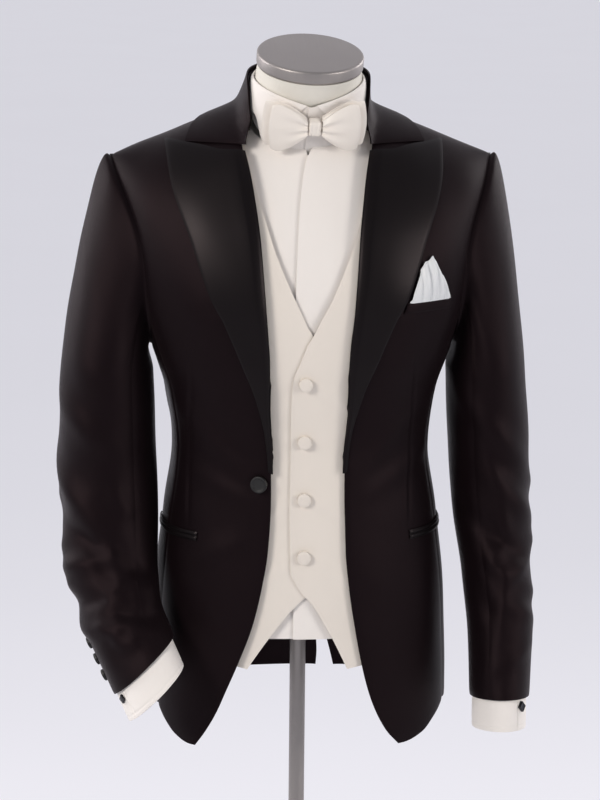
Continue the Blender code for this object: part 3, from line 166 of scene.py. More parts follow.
@dataclass(frozen=True)
class Figure:
    """The surface that every layer follows: the outer face of the jacket, and the neck above it."""

    hem_z: float = 0.765
    chest_z: float = 1.280
    neck_x: float = 0.0765
    neck_z: float = 1.512
    tip_x: float = 0.2250
    tip_z: float = 1.4525
    ridge_y: float = 0.012
    squareness: float = 0.80
    armhole_z: float = 1.342
    armhole_rise: float = 0.1105
    armhole_spread: float = math.radians(27.0)
    side_seams: Spot = (math.radians(72.0), math.radians(112.0))
    # Height, half width, depth in front, depth behind
    sections: tuple[Row, ...] = (
        (0.745, 0.1820, 0.127, 0.126),
        (0.860, 0.1785, 0.126, 0.121),
        (0.950, 0.1735, 0.123, 0.114),
        (1.030, 0.1640, 0.118, 0.105),
        (1.110, 0.1535, 0.114, 0.098),
        (1.180, 0.1620, 0.122, 0.102),
        (1.232, 0.1790, 0.130, 0.108),
        (1.300, 0.2000, 0.134, 0.114),
        (1.370, 0.2120, 0.131, 0.117),
        (1.440, 0.2250, 0.125, 0.115),
        (1.560, 0.2250, 0.125, 0.115),
    )
    # Height, centre x and y, half width, half depth
    neck: tuple[Row, ...] = (
        (1.440, 0.0, 0.0160, 0.0740, 0.0720),
        (1.475, 0.0010, 0.0015, 0.0680, 0.0685),
        (1.510, 0.0022, -0.0145, 0.0645, 0.0680),
        (1.540, 0.0032, -0.0285, 0.0622, 0.0672),
        (1.600, 0.0045, -0.0560, 0.0615, 0.0660),
    )

    def squared(self, value: float) -> float:
        """Sine or cosine of a section that is squarer than an ellipse."""
        return math.copysign(abs(value) ** self.squareness, value)

    def ridge_height(self, x: float) -> float:
        """Height of the shoulder line at a distance from the middle."""
        return self.neck_z - (abs(x) - self.neck_x) * (self.neck_z - self.tip_z) / (self.tip_x - self.neck_x)

    def on_body(self, angle: float, rise: float, out: float = 0.0) -> Vector:
        """A point at a distance out from the jacket's outer face.

        Args:
            angle: Turn round the body, 0 at centre front.
            rise: 0 at the hem, 1 at the chest, 2 on the shoulder line.
            out: Distance out from the face.

        Returns:
            The point.
        """
        across, forward = self.squared(math.sin(angle)), self.squared(math.cos(angle))
        turn = max(rise - 1, 0.0) * math.pi / 2
        if rise < 1:
            z = mix(self.hem_z, self.chest_z, rise)
        else:
            z = mix(self.chest_z, self.ridge_height(self.tip_x * across) + out, math.sin(turn))
        width, front, back = along(self.sections, z)
        y = -((front if forward > 0 else back) + out) * forward
        if rise > 1:
            y = mix(self.ridge_y, y, math.cos(turn))
        return Vector(((width + out) * across, y, z))

    def outward(self, spot: Spot) -> Vector:
        """The way out of the jacket's face at a place."""
        return (self.on_body(*spot, 0.01) - self.on_body(*spot)).normalized()

    def rise_of(self, angle: float, z: float) -> float:
        """The rise at which the body's face has this height."""
        if z < self.chest_z:
            return (z - self.hem_z) / (self.chest_z - self.hem_z)
        top = self.ridge_height(self.tip_x * self.squared(math.sin(angle)))
        return 1 + math.asin(min((z - self.chest_z) / (top - self.chest_z), 1)) * 2 / math.pi

    def spot(self, x: float, z: float, behind: bool = False) -> Spot:
        """Angle and rise of the place seen at x and z from the front, or from behind."""
        share = min(abs(x) / along(self.sections, z)[0], 1)
        angle = math.copysign(math.asin(share ** (1 / self.squareness)), x)
        return (math.pi - angle if behind else angle), self.rise_of(angle, z)

    def crown_spot(self, x: float, y: float, out: float = 0.0) -> Spot:
        """Angle and rise of the place on the shoulder seen at x and y from above."""
        angle = math.asin(min(x / (self.tip_x + out), 1) ** (1 / self.squareness))
        _, front, back = along(self.sections, self.neck_z)
        reach = self.ridge_y + (front + out) * self.squared(math.cos(angle))
        if y > self.ridge_y:
            reach = self.ridge_y - (back + out) * self.squared(math.cos(angle))
            angle = math.pi - angle
        return angle, 1 + math.acos(min((self.ridge_y - y) / reach, 1)) * 2 / math.pi

    def ridge_spot(self, x: float, behind: bool = False) -> Spot:
        """Angle and rise of a place on the shoulder line."""
        angle = math.asin((x / self.tip_x) ** (1 / self.squareness))
        return (math.pi - angle if behind else angle), 2.0

    def armhole(self, turn: float, inside: float = 0.0) -> Spot:
        """Angle and rise on the armhole: turn 0 at the tip, a quarter in front, a half under the arm."""
        angle = math.pi / 2 - (self.armhole_spread - inside / self.tip_x) * math.sin(turn)
        return angle, self.rise_of(angle, self.armhole_z + (self.armhole_rise - inside) * math.cos(turn))

    def armhole_turn(self, seam: float) -> float:
        """The turn at which the lower armhole crosses a side seam."""
        return math.pi - math.asin((math.pi / 2 - seam) / self.armhole_spread)

    def round_neck(self, angle: float, z: float, out: float) -> Vector:
        """A point at a distance out from the bare neck: angle 0 in front, a quarter at the wearer's left."""
        x, y, width, depth = along(self.neck, z)
        return Vector((x + math.sin(angle) * (width + out), y - math.cos(angle) * (depth + out), z))

    def side_edge(self, seam: float, hem_z: float, turns: Spot, inside: float = 0.0) -> Curve:
        """A side seam up to the armhole, then along the armhole to the shoulder tip.

        Args:
            seam: Angle of the side seam.
            hem_z: Height of the hem there.
            turns: Turns of the armhole at the seam and at the tip.
            inside: How far the armhole lies inside the jacket's.

        Returns:
            The curve, its share rising from the hem.
        """
        low, high = self.rise_of(seam, hem_z), self.armhole(turns[0], inside)[1]

        def read(share: float) -> Spot:
            """Angle and rise at a share."""
            if share < 0.70:
                return seam, mix(low, high, share / 0.70)
            return self.armhole(mix(turns[0], turns[1], (share - 0.70) / 0.30), inside)

        return read


FIGURE = Figure()


# Creases


class View(Enum):
    """The side from which a crease is laid out: the axes across and towards the viewer, and the sign."""

    FRONT = (0, 1, -1.0)
    BACK = (0, 1, 1.0)
    LEFT_SIDE = (1, 0, 1.0)
    RIGHT_SIDE = (1, 0, -1.0)


@dataclass(frozen=True)
class Fold:
    """A soft ridge, or a trough where its height is below zero, between two places seen from one side."""

    view: View
    start: Spot
    end: Spot
    height: float
    width: float

    def lift(self, points: np.ndarray, normals: np.ndarray) -> np.ndarray:
        """How far each point moves out along its normal.

        Args:
            points: Points on the cloth, a row each.
            normals: Their normals.

        Returns:
            A distance for each point.
        """
        across, depth, sign = self.view.value
        start, end = np.array(self.start), np.array(self.end)
        place = points[:, [across, 2]] - start
        run = end - start
        length = float(np.hypot(*run))
        share = place @ run / length**2
        aside = (place[:, 0] * run[1] - place[:, 1] * run[0]) / length
        taper = np.clip(np.minimum(share, 1 - share) * 2.4 + 0.35, 0.0, 1.0)
        taper = taper * taper * (3 - 2 * taper)
        facing = np.clip(normals[:, depth] * sign * 1.6 + 0.25, 0.0, 1.0)
        ridge = np.exp(-((aside / self.width) ** 2))
        slump = np.exp(-(((aside - 1.9 * self.width) / (1.5 * self.width)) ** 2))
        return self.height * (ridge - 0.40 * slump) * taper * facing


def ripple(points: np.ndarray, height: float, length: float, seed: float) -> np.ndarray:
    """Slow unevenness of hanging cloth, the same on every run.

    Args:
        points: Points on the cloth.
        height: The largest distance moved.
        length: Distance from one swell to the next.
        seed: A shift, so that two pieces differ.

    Returns:
        A distance for each point.
    """
    x, y, z = (points[:, axis] / length * 2 * math.pi for axis in range(3))
    wave = np.sin(1.3 * x + 0.7 * z + seed) * np.cos(0.9 * y - 0.5 * z + 2.1 * seed)
    return height * (0.6 * wave + 0.4 * np.sin(0.6 * x - 1.9 * y + 0.35 * z + 3.7 * seed))


# Finishes


class Link:
    """A shader value that takes part in plain arithmetic."""

    def __init__(self, graph: "Graph", socket: bpy.types.NodeSocket) -> None:
        """Wrap a socket of a graph."""
        self.graph = graph
        self.socket = socket

    def _maths(self, operation: str, first: "Link | float", second: "Link | float") -> "Link":
        """The result of a Math node on two values."""
        return self.graph.node("ShaderNodeMath", {"operation": operation}, {0: first, 1: second})

    def __add__(self, other: "Link | float") -> "Link":
        """Sum."""
        return self._maths("ADD", self, other)

    def __radd__(self, other: float) -> "Link":
        """Sum, the number first."""
        return self._maths("ADD", other, self)

    def __sub__(self, other: "Link | float") -> "Link":
        """Difference."""
        return self._maths("SUBTRACT", self, other)

    def __mul__(self, other: "Link | float") -> "Link":
        """Product."""
        return self._maths("MULTIPLY", self, other)

    def sine(self) -> "Link":
        """Sine of the value in radians."""
        return self._maths("SINE", self, 0.0)


class Graph:
    """The nodes of one material, or of the surround."""

    def __init__(self, owner: bpy.types.Material | bpy.types.World) -> None:
        """Start with the owner's shader and output alone."""
        owner.use_nodes = True
        self.owner = owner
        self.tree = owner.node_tree
        self.shader = next(node for node in self.tree.nodes if node.type in ("BSDF_PRINCIPLED", "BACKGROUND"))

    def node(self, kind: str, settings: dict, inputs: dict, output: int | str = 0) -> Link:
        """Add a node.

        Args:
            kind: The node's type.
            settings: Its settings, set before its inputs.
            inputs: Values or links of its sockets, by name or number.
            output: The socket that is handed back.

        Returns:
            The output.
        """
        made = self.tree.nodes.new(kind)
        for key, value in settings.items():
            setattr(made, key, value)
        for key, value in inputs.items():
            self.connect(made.inputs[key], value)
        return Link(self, made.outputs[output])

    def connect(self, socket: bpy.types.NodeSocket, value: "Link | float | tuple") -> None:
        """Give a socket a value or a link."""
        if isinstance(value, Link):
            self.tree.links.new(value.socket, socket)
        else:
            socket.default_value = value

    def place(self, own_map: bool) -> Link:
        """The piece's own map, in metres of cloth, or its Object coordinates."""
        return self.node("ShaderNodeTexCoord", {}, {}, "UV" if own_map else "Object")

    def noise(self, place: Link, scale: float, detail: float = 3.0, stretch: Row = (1.0, 1.0, 1.0)) -> Link:
        """Noise from 0 to 1 with so many swells a metre, stretched along the axes."""
        spread = self.node("ShaderNodeMapping", {}, {"Vector": place, "Scale": stretch})
        inputs = {"Vector": spread, "Scale": scale, "Detail": detail}
        return self.node("ShaderNodeTexNoise", {}, inputs, "Fac")

    def between(self, factor: Link, first: Row, second: Row) -> Link:
        """A colour between two others."""
        inputs = {"Factor": factor, "A": (*first, 1.0), "B": (*second, 1.0)}
        made = self.tree.nodes.new("ShaderNodeMix")
        made.data_type = "RGBA"
        for socket in made.inputs:
            if socket.enabled and socket.name in inputs:
                self.connect(socket, inputs[socket.name])
        return Link(self, next(socket for socket in made.outputs if socket.enabled))

    def bump(self, height: Link, distance: float, strength: float = 1.0, under: Link | None = None) -> Link:
        """A normal from a height of 0 to 1 over a distance in metres, on top of another normal."""
        inputs = {"Height": height, "Distance": distance, "Strength": strength}
        if under:
            inputs["Normal"] = under
        return self.node("ShaderNodeBump", {}, inputs, "Normal")

    def finish(self, **values: "Link | float | tuple") -> bpy.types.Material | bpy.types.World:
        """Give the shader its values, by socket name with _ for a space, and hand back the owner."""
        for key, value in values.items():
            self.connect(self.shader.inputs[key.replace("_", " ")], value)
        return self.owner


class Weave(Enum):
    """How the threads of a cloth cross."""

    PLAIN = "plain"
    TWILL = "twill"
    SATIN = "satin"
    KNIT = "knit"


@dataclass(frozen=True)
class Cloth:
    """A woven or knitted finish."""

    slot: str
    weave: Weave
    colour: Row
    shade: Row
    roughness: float
    sheen: float
    sheen_tint: Row
    threads: float
    relief: float
    slub: float = 0.00006
    coat: float = 0.0
    gloss: float = 0.5

    def material(self) -> bpy.types.Material:
        """The material, made on first use."""
        name = f"{self.slot}_finish"
        if name in bpy.data.materials:
            return bpy.data.materials[name]
        graph = Graph(bpy.data.materials.new(name))
        own = graph.place(own_map=True)
        split = graph.node("ShaderNodeSeparateXYZ", {}, {"Vector": own}, "X")
        across, down = split, Link(graph, split.socket.node.outputs["Y"])
        turn = 2 * math.pi * self.threads
        if self.weave is Weave.TWILL:
            line = ((across + down) * turn).sine() * 0.35
            thread = line + ((across - down * 0.2) * (turn * 1.7)).sine() * 0.15
        elif self.weave is Weave.SATIN:
            thread = (across * turn).sine() * 0.12 + ((down + across * 0.4) * (turn * 0.6)).sine() * 0.08
        elif self.weave is Weave.KNIT:
            thread = (across * turn).sine() * ((down * (turn * 1.3)).sine() * 0.3 + 0.5) * 0.5
        else:
            thread = (across * turn).sine() * (down * turn).sine() * 0.5
        slubs = graph.noise(own, 900.0, 2.0, (1.0, 0.16, 1.0))
        cloudy = graph.noise(graph.place(own_map=False), 7.0, 4.0)
        fine = graph.bump(thread + 0.5, self.relief, 0.6)
        normal = graph.bump(slubs, self.slub, 0.7, fine)
        tone = cloudy * 0.75 + slubs * 0.25
        return graph.finish(
            Base_Color=graph.between(tone, self.shade, self.colour),
            Roughness=self.roughness + (tone - 0.5) * 0.10,
            Normal=normal,
            Sheen_Weight=self.sheen,
            Sheen_Roughness=0.45,
            Sheen_Tint=(*self.sheen_tint, 1.0),
            Specular_IOR_Level=self.gloss,
            Specular_Tint=(*self.sheen_tint, 1.0),
            Coat_Weight=self.coat,
            Coat_Roughness=0.35,
        )


@dataclass(frozen=True)
class Metal:
    """A brushed or polished metal, or a polished button where metallic is 0."""

    slot: str
    colour: Row
    shade: Row
    roughness: float
    metallic: float
    brushed: Row = (1.0, 1.0, 1.0)
    relief: float = 0.00002

    def material(self) -> bpy.types.Material:
        """The material, made on first use."""
        name = f"{self.slot}_finish"
        if name in bpy.data.materials:
            return bpy.data.materials[name]
        graph = Graph(bpy.data.materials.new(name))
        grain = graph.noise(graph.place(own_map=False), 420.0, 3.0, self.brushed)
        worn = graph.noise(graph.place(own_map=False), 14.0, 3.0)
        return graph.finish(
            Base_Color=graph.between(grain * 0.5 + worn * 0.5, self.shade, self.colour),
            Roughness=self.roughness + (grain - 0.5) * 0.18,
            Metallic=self.metallic,
            Normal=graph.bump(grain, self.relief, 0.5),
        )


WOOL = Cloth(
    "jacket_cloth", Weave.TWILL, (0.0056, 0.0032, 0.0040), (0.0034, 0.0019, 0.0024), 0.42, 0.026,
    (1.0, 0.70, 0.76), 1300.0, 0.00010, gloss=0.11,
)
LAPEL_SATIN = Cloth(
    "lapel_satin", Weave.SATIN, (0.0050, 0.0038, 0.0042), (0.0034, 0.0026, 0.0029), 0.39, 0.010,
    (1.0, 0.86, 0.89), 1600.0, 0.00005, 0.00003, 0.0, 0.16,
)
WAISTCOAT_CLOTH = Cloth(
    "waistcoat_cloth", Weave.TWILL, (0.840, 0.775, 0.700), (0.790, 0.725, 0.650), 0.52, 0.20,
    (1.0, 0.98, 0.94), 1100.0, 0.00008,
)
SHIRT_COTTON = Cloth(
    "shirt_cotton", Weave.PLAIN, (0.890, 0.845, 0.800), (0.850, 0.800, 0.755), 0.72, 0.15,
    (1.0, 1.0, 1.0), 1000.0, 0.00008,
)
BOW_SATIN = Cloth(
    "bow_satin", Weave.SATIN, (0.880, 0.820, 0.755), (0.835, 0.775, 0.705), 0.40, 0.22,
    (1.0, 0.99, 0.96), 1400.0, 0.00005,
)
POCKET_SILK = Cloth(
    "pocket_silk", Weave.SATIN, (0.790, 0.800, 0.805), (0.720, 0.735, 0.745), 0.38, 0.25,
    (1.0, 1.0, 1.0), 1500.0, 0.00005,
)
FORM_JERSEY = Cloth(
    "form_jersey", Weave.KNIT, (0.790, 0.760, 0.690), (0.750, 0.718, 0.645), 0.85, 0.25,
    (1.0, 0.98, 0.94), 900.0, 0.00012,
)
BLACK_BUTTON = Metal("black_button", (0.005, 0.004, 0.004), (0.003, 0.003, 0.003), 0.50, 0.0)
LINK_METAL = Metal("link_metal", (0.050, 0.050, 0.055), (0.030, 0.030, 0.034), 0.25, 0.9)
BRUSHED_METAL = Metal(
    "brushed_metal", (0.40, 0.37, 0.355), (0.32, 0.295, 0.285), 0.45, 0.85, (1.0, 0.05, 0.05), 0.00003,
)


# Making a piece


def deselect() -> None:
    """Leave nothing selected, so that an operator acts on the new piece alone."""
    bpy.ops.object.select_all(action="DESELECT")


def applied(piece: bpy.types.Object, kind: str, **settings: float | str | bool) -> None:
    """Add a modifier with its settings and apply it."""
    deselect()
    piece.select_set(True)
    bpy.context.view_layer.objects.active = piece
    modifier = piece.modifiers.new(kind.lower(), kind)
    for key, value in settings.items():
        setattr(modifier, key, value)
    bpy.ops.object.modifier_apply(modifier=modifier.name)


def dressed(
    piece: bpy.types.Object, name: str, look: Cloth | Metal, nodes: tuple[str, ...]
) -> bpy.types.Object:
    """Name a piece, give it its finish and tie it to the frame.

    Args:
        piece: The new piece.
        name: Its name.
        look: Its finish.
        nodes: The solids it stands for.

    Returns:
        The piece.
    """
    piece.name = piece.data.name = name
    piece.data.materials.clear()
    piece.data.materials.append(look.material())
    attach(piece, BODY)
    if nodes:
        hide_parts(*nodes)
    LOG.info("%s: %d faces", name, len(piece.data.polygons))
    return piece


@dataclass
class Panel:
    """One cut piece of cloth: a fine grid laid at place(u, v, out), with folds and a wall."""

    name: str
    place: Place
    columns: int
    rows: int
    wall: float
    look: Cloth
    nodes: tuple[str, ...] = ()
    folds: tuple[Fold, ...] = ()
    rests_on: tuple[str, ...] = ("form_torso",)
    held: str = "hung"
    tube: bool = False
    swell: float = 0.0
    seed: float = 0.0
    # Depth and width of the dip where the cloth is turned in at its edges: left, right, bottom, top
    dips: Row = (0.0, 0.0, 0.0, 0.0)
    dip_width: float = 0.0035

    def laid(self) -> tuple[np.ndarray, np.ndarray]:
        """The grid's points and its normals, out of the cloth, as arrays of rows by columns."""
        across, upward = np.linspace(0, 1, self.columns + 1), np.linspace(0, 1, self.rows + 1)
        points = np.array([[self.place(u, v, 0.0) for u in across] for v in upward])
        du, dv = np.gradient(points, axis=1), np.gradient(points, axis=0)
        if self.tube:
            du[:, 0] = du[:, -1] = points[:, 1] - points[:, -2]
        normals = np.cross(du, dv)
        normals /= np.maximum(np.linalg.norm(normals, axis=2, keepdims=True), 1e-12)
        step = 0.001
        raised = np.array([[self.place(u, v, step) for u in across[::8]] for v in upward[::8]])
        outward = raised - points[::8, ::8]
        if (outward * normals[::8, ::8]).sum() < 0:
            normals = -normals
        return points, normals

    def dip(self, points: np.ndarray) -> np.ndarray:
        """How far the cloth dips beside its edges, where it is turned in."""
        found = np.zeros(points.shape[:2])
        across = np.linalg.norm(np.diff(points, axis=1), axis=2)
        upward = np.linalg.norm(np.diff(points, axis=0), axis=2)
        from_left = np.concatenate([np.zeros((len(points), 1)), np.cumsum(across, axis=1)], axis=1)
        from_low = np.concatenate([np.zeros((1, points.shape[1])), np.cumsum(upward, axis=0)], axis=0)
        ways = (from_left, from_left[:, -1:] - from_left, from_low, from_low[-1:] - from_low)
        for depth, way in zip(self.dips, ways):
            found -= depth * np.exp(-((way / self.dip_width) ** 2))
        return found

    def map_cut(self, mesh: bpy.types.Mesh, points: np.ndarray) -> None:
        """Give the grid a map in metres of cloth, along its middle row and its middle column."""
        across = np.linalg.norm(np.diff(points[self.rows // 2], axis=0), axis=1)
        upward = np.linalg.norm(np.diff(points[:, self.columns // 2], axis=0), axis=1)
        layer = mesh.uv_layers.active
        cut = np.empty(len(layer.data) * 2)
        layer.data.foreach_get("uv", cut)
        cut = cut.reshape(-1, 2)
        column = np.rint(cut[:, 0] * self.columns).astype(int)
        row = np.rint(cut[:, 1] * self.rows).astype(int)
        cut[:, 0] = np.concatenate([[0.0], np.cumsum(across)])[column]
        cut[:, 1] = np.concatenate([[0.0], np.cumsum(upward)])[row]
        layer.data.foreach_set("uv", cut.ravel())

    def make(self) -> bpy.types.Object:
        """Build the piece."""
        points, normals = self.laid()
        across = np.linalg.norm(np.diff(points, axis=1), axis=2).sum(axis=1)
        upward = np.linalg.norm(np.diff(points, axis=0), axis=2).sum(axis=0)
        width, length = float(across.max()), float(upward.max())
        flat_points, flat_normals = points.reshape(-1, 3), normals.reshape(-1, 3)
        lift = self.dip(points).reshape(-1)
        for fold in self.folds:
            lift += fold.lift(flat_points, flat_normals)
        if self.swell:
            lift += ripple(flat_points, self.swell, 0.11, self.seed)
        if self.tube:
            grid = lift.reshape(points.shape[:2])
            grid[:, -1] = grid[:, 0]
        moved = flat_points + flat_normals * lift[:, None]

        deselect()
        bpy.ops.mesh.primitive_grid_add(
            x_subdivisions=self.columns, y_subdivisions=self.rows, size=2, calc_uvs=True
        )
        piece = bpy.context.object
        mesh = piece.data
        flat = np.empty(len(mesh.vertices) * 3)
        mesh.vertices.foreach_get("co", flat)
        flat = flat.reshape(-1, 3)
        column = np.rint((flat[:, 0] + 1) / 2 * self.columns).astype(int)
        row = np.rint((flat[:, 1] + 1) / 2 * self.rows).astype(int)
        mesh.vertices.foreach_set("co", moved[row * (self.columns + 1) + column].ravel())
        self.map_cut(mesh, points)
        mesh.update()
        if np.dot(mesh.polygons[0].normal, flat_normals[0]) < 0:
            mesh.flip_normals()
        if self.tube:
            applied(piece, "WELD", merge_threshold=1e-5)
        area = sum(face.area for face in piece.data.polygons)
        applied(piece, "SOLIDIFY", thickness=self.wall, offset=-1.0, use_rim=True)
        bpy.ops.object.shade_smooth_by_angle(angle=math.radians(50))
        dressed(piece, self.name, self.look, self.nodes)
        area = min(area, width * length)
        list(self.rests_on)
        return piece


def trough(lift: float, share: float, width: float) -> float:
    """How deep a soft line of this height is at a share of the cloth away from it."""
    return -lift * math.exp(-((share / width) ** 2))


@dataclass(frozen=True)
class Layer:
    """A garment's outer face: its depth inside the jacket's, on the body and on the shoulder line."""

    depth: float
    shoulder: float
    # Extra depth away from centre front, and the angles over which it comes
    sink: float = 0.0
    sinks_from: float = math.radians(22.0)
    sinks_over: float = math.radians(18.0)
    # Rise from which the layer closes up to its depth on the shoulder line
    settles_from: float = 1.96

    def worn(self, spread: Spread, side: int) -> Place:
        """The place of a panel in this layer.

        Args:
            spread: Angle and rise over the panel.
            side: LEFT or RIGHT.

        Returns:
            The place of u and v at a distance out.
        """

        def place(u: float, v: float, out: float) -> Vector:
            """A point of the panel."""
            angle, rise = spread(u, v)
            settled = clamp((rise - self.settles_from) / (2 - self.settles_from))
            deeper = self.sink * clamp((angle - self.sinks_from) / self.sinks_over)
            depth = mix(self.depth - deeper, self.shoulder, settled)
            return FIGURE.on_body(side * angle, rise, depth + out)

        return place


def lofted(rings: Callable[[float, float], Vector], columns: int, rows: int) -> bpy.types.Object:
    """A closed body through rings, u round it and v up, its ends filled."""
    deselect()
    bpy.ops.mesh.primitive_grid_add(x_subdivisions=columns, y_subdivisions=rows, size=2, calc_uvs=True)
    piece = bpy.context.object
    for corner in piece.data.vertices:
        u, v = (corner.co.x + 1) / 2, (corner.co.y + 1) / 2
        corner.co = rings(0.0 if u > 1 - 1e-6 else u, v)
    bpy.ops.object.mode_set(mode="EDIT")
    bpy.ops.mesh.select_all(action="SELECT")
    bpy.ops.mesh.remove_doubles(threshold=1e-5)
    bpy.ops.mesh.select_all(action="DESELECT")
    bpy.ops.mesh.select_non_manifold(
        extend=False, use_wire=False, use_multi_face=False, use_non_contiguous=False
    )
    bpy.ops.mesh.edge_face_add()
    bpy.ops.mesh.select_all(action="SELECT")
    bpy.ops.mesh.normals_make_consistent(inside=False)
    bpy.ops.object.mode_set(mode="OBJECT")
    bpy.ops.object.shade_smooth_by_angle(angle=math.radians(40))
    return piece


def node_middle(node: str) -> Vector:
    """The middle of a solid's box."""
    low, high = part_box(node)
    return (Vector(low) + Vector(high)) / 2


def turned_to(piece: bpy.types.Object, centre: Vector, axis: Vector) -> None:
    """Put a piece made round +Z at a centre with its top along an axis, and keep that in its mesh."""
    turn = Vector((0, 0, 1)).rotation_difference(axis).to_matrix().to_4x4()
    piece.data.transform(Matrix.Translation(centre) @ turn)
    piece.data.update()


# Steps in from a button's rim: share of its radius inwards, share of its height up
COVERED_DOME = ((0.16, 0.14), (0.22, 0.10), (0.28, 0.05))
DISHED_FACE = ((0.10, 0.08), (0.12, 0.0), (0.10, -0.22), (0.30, -0.04))


@dataclass
class Button:
    """A round button with a rim and a dished middle, or a domed one covered in cloth."""

    radius: float
    height: float
    look: Cloth | Metal
    covered: bool = False
    sides: int = 40

    def make(self, name: str, node: str, axis: Vector) -> bpy.types.Object:
        """Model the button where its solid is.

        Args:
            name: Name of the piece.
            node: The solid it stands for.
            axis: Its way out of the cloth.

        Returns:
            The piece.
        """
        deselect()
        bpy.ops.mesh.primitive_cylinder_add(vertices=self.sides, radius=self.radius, depth=self.height)
        piece = bpy.context.object
        bpy.ops.object.mode_set(mode="EDIT")
        bpy.ops.mesh.select_all(action="DESELECT")
        bpy.ops.object.mode_set(mode="OBJECT")
        for face in piece.data.polygons:
            face.select = face.normal.z > 0.9
        bpy.ops.object.mode_set(mode="EDIT")
        for inset, lift in COVERED_DOME if self.covered else DISHED_FACE:
            bpy.ops.mesh.inset(thickness=self.radius * inset, depth=self.height * lift)
        bpy.ops.object.mode_set(mode="OBJECT")
        applied(piece, "BEVEL", width=self.radius * 0.045, segments=3, limit_method="ANGLE", angle_limit=0.5)
        bpy.ops.object.shade_smooth_by_angle(angle=math.radians(60))
        turned_to(piece, node_middle(node), axis)
        return dressed(piece, name, self.look, (node,))


# The stand and the form


@dataclass
class Stand:
    """The round plate, the pole with its flange, and the cap on the neck."""

    plate_radius: float = 0.190
    plate_height: float = 0.012
    pole_radius: float = 0.0096
    cap_radius: float = 0.0618
    cap_height: float = 0.016
    cap_centre: Row = (0.0045, -0.045, 1.5770)
    cap_tilt: float = math.radians(16.0)
    cap_lean: float = math.radians(2.0)

    def plate(self) -> None:
        """The plate, with a rounded upper edge."""
        deselect()
        at = (0, 0, self.plate_height / 2)
        bpy.ops.mesh.primitive_cylinder_add(
            vertices=96, radius=self.plate_radius, depth=self.plate_height, location=at
        )
        piece = bpy.context.object
        bpy.ops.object.transform_apply(location=True)
        applied(piece, "BEVEL", width=0.003, segments=4, limit_method="ANGLE", angle_limit=0.6)
        bpy.ops.object.shade_smooth_by_angle(angle=math.radians(35))
        dressed(piece, "stand_plate", BRUSHED_METAL, ("base_plate",))

    def pole(self, top: float) -> None:
        """The pole up to the form, widened to a flange on the plate."""
        deselect()
        low = self.plate_height + 0.0003
        bpy.ops.mesh.primitive_cylinder_add(
            vertices=64, radius=self.pole_radius, depth=top - low, location=(0, 0, (top + low) / 2)
        )
        piece = bpy.context.object
        bpy.ops.object.transform_apply(location=True)
        bpy.ops.object.mode_set(mode="EDIT")
        bpy.ops.mesh.select_all(action="SELECT")
        for height in (0.0100, 0.0200, 0.0300):
            bpy.ops.mesh.bisect(plane_co=(0, 0, low + height), plane_no=(0, 0, 1))
            bpy.ops.mesh.select_all(action="SELECT")
        bpy.ops.object.mode_set(mode="OBJECT")
        for corner in piece.data.vertices:
            spread = {0.0: 2.70, 0.01: 2.35, 0.02: 1.45}.get(round(corner.co.z - low, 3), 1.0)
            corner.co.x *= spread
            corner.co.y *= spread
        bpy.ops.object.shade_smooth_by_angle(angle=math.radians(50))
        dressed(piece, "stand_pole", BRUSHED_METAL, ("pole",))

    def cap(self) -> None:
        """The neck cap, tilted with the neck."""
        deselect()
        bpy.ops.mesh.primitive_cylinder_add(
            vertices=96, radius=self.cap_radius, depth=self.cap_height, location=(0, 0, -self.cap_height / 2)
        )
        piece = bpy.context.object
        bpy.ops.object.transform_apply(location=True)
        applied(piece, "BEVEL", width=0.0032, segments=5, limit_method="ANGLE", angle_limit=0.6)
        bpy.ops.object.shade_smooth_by_angle(angle=math.radians(35))
        turn = Matrix.Rotation(self.cap_lean, 4, "Y") @ Matrix.Rotation(self.cap_tilt, 4, "X")
        piece.data.transform(Matrix.Translation(self.cap_centre) @ turn)
        piece.data.update()
        dressed(piece, "metal_neck_cap", BRUSHED_METAL, ("neck_cap",))

    def make(self) -> None:
        """Build the stand."""
        self.plate()
        self.pole(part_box("form_torso")[0][2] - 0.0003)
        self.cap()


@dataclass
class Form:
    """The limbless form: its torso to the shoulder line, and the neck up to the cap."""

    # Rise, distance in from the jacket's outer face
    levels: tuple[Row, ...] = (
        (0.259, 0.0215), (0.40, 0.0225), (0.55, 0.0235), (0.70, 0.0240), (0.85, 0.0255), (1.0, 0.0270),
        (1.15, 0.0280), (1.30, 0.0280), (1.45, 0.0280), (1.60, 0.0275), (1.73, 0.0265), (1.84, 0.0250),
        (1.93, 0.0215), (2.0, 0.0068),
    )
    # Height, distance out from the neck's section
    neck_rings: tuple[Row, ...] = (
        (1.43, -0.034), (1.47, -0.021), (1.505, -0.0095), (1.53, 0.0), (1.54, 0.0),
    )

    def make(self, stand: Stand) -> None:
        """Build the torso and the neck under the stand's cap."""

        def torso(u: float, v: float) -> Vector:
            """A point of the torso."""
            rise = mix(self.levels[0][0], 2.0, v)
            return FIGURE.on_body(2 * math.pi * u, rise, -along(self.levels, rise)[0])

        dressed(lofted(torso, 96, 72), "jersey_torso", FORM_JERSEY, ("form_torso",))

        tilt = Matrix.Rotation(stand.cap_lean, 3, "Y") @ Matrix.Rotation(stand.cap_tilt, 3, "X")
        seat = Vector(stand.cap_centre) - tilt @ Vector((0, 0, stand.cap_height + 0.0003))
        rim = stand.cap_radius - 0.0015

        def neck(u: float, v: float) -> Vector:
            """A point of the neck: its rings, then straight up to the cap."""
            turn = 2 * math.pi * u
            z = mix(self.neck_rings[0][0], 1.54, min(v / 0.7, 1.0))
            point = FIGURE.round_neck(turn, z, along(self.neck_rings, z)[0])
            top = seat + tilt @ Vector((math.sin(turn) * rim, -math.cos(turn) * rim, 0))
            return point.lerp(top, clamp((v - 0.7) / 0.3))

        dressed(lofted(neck, 96, 40), "jersey_neck", FORM_JERSEY, ())


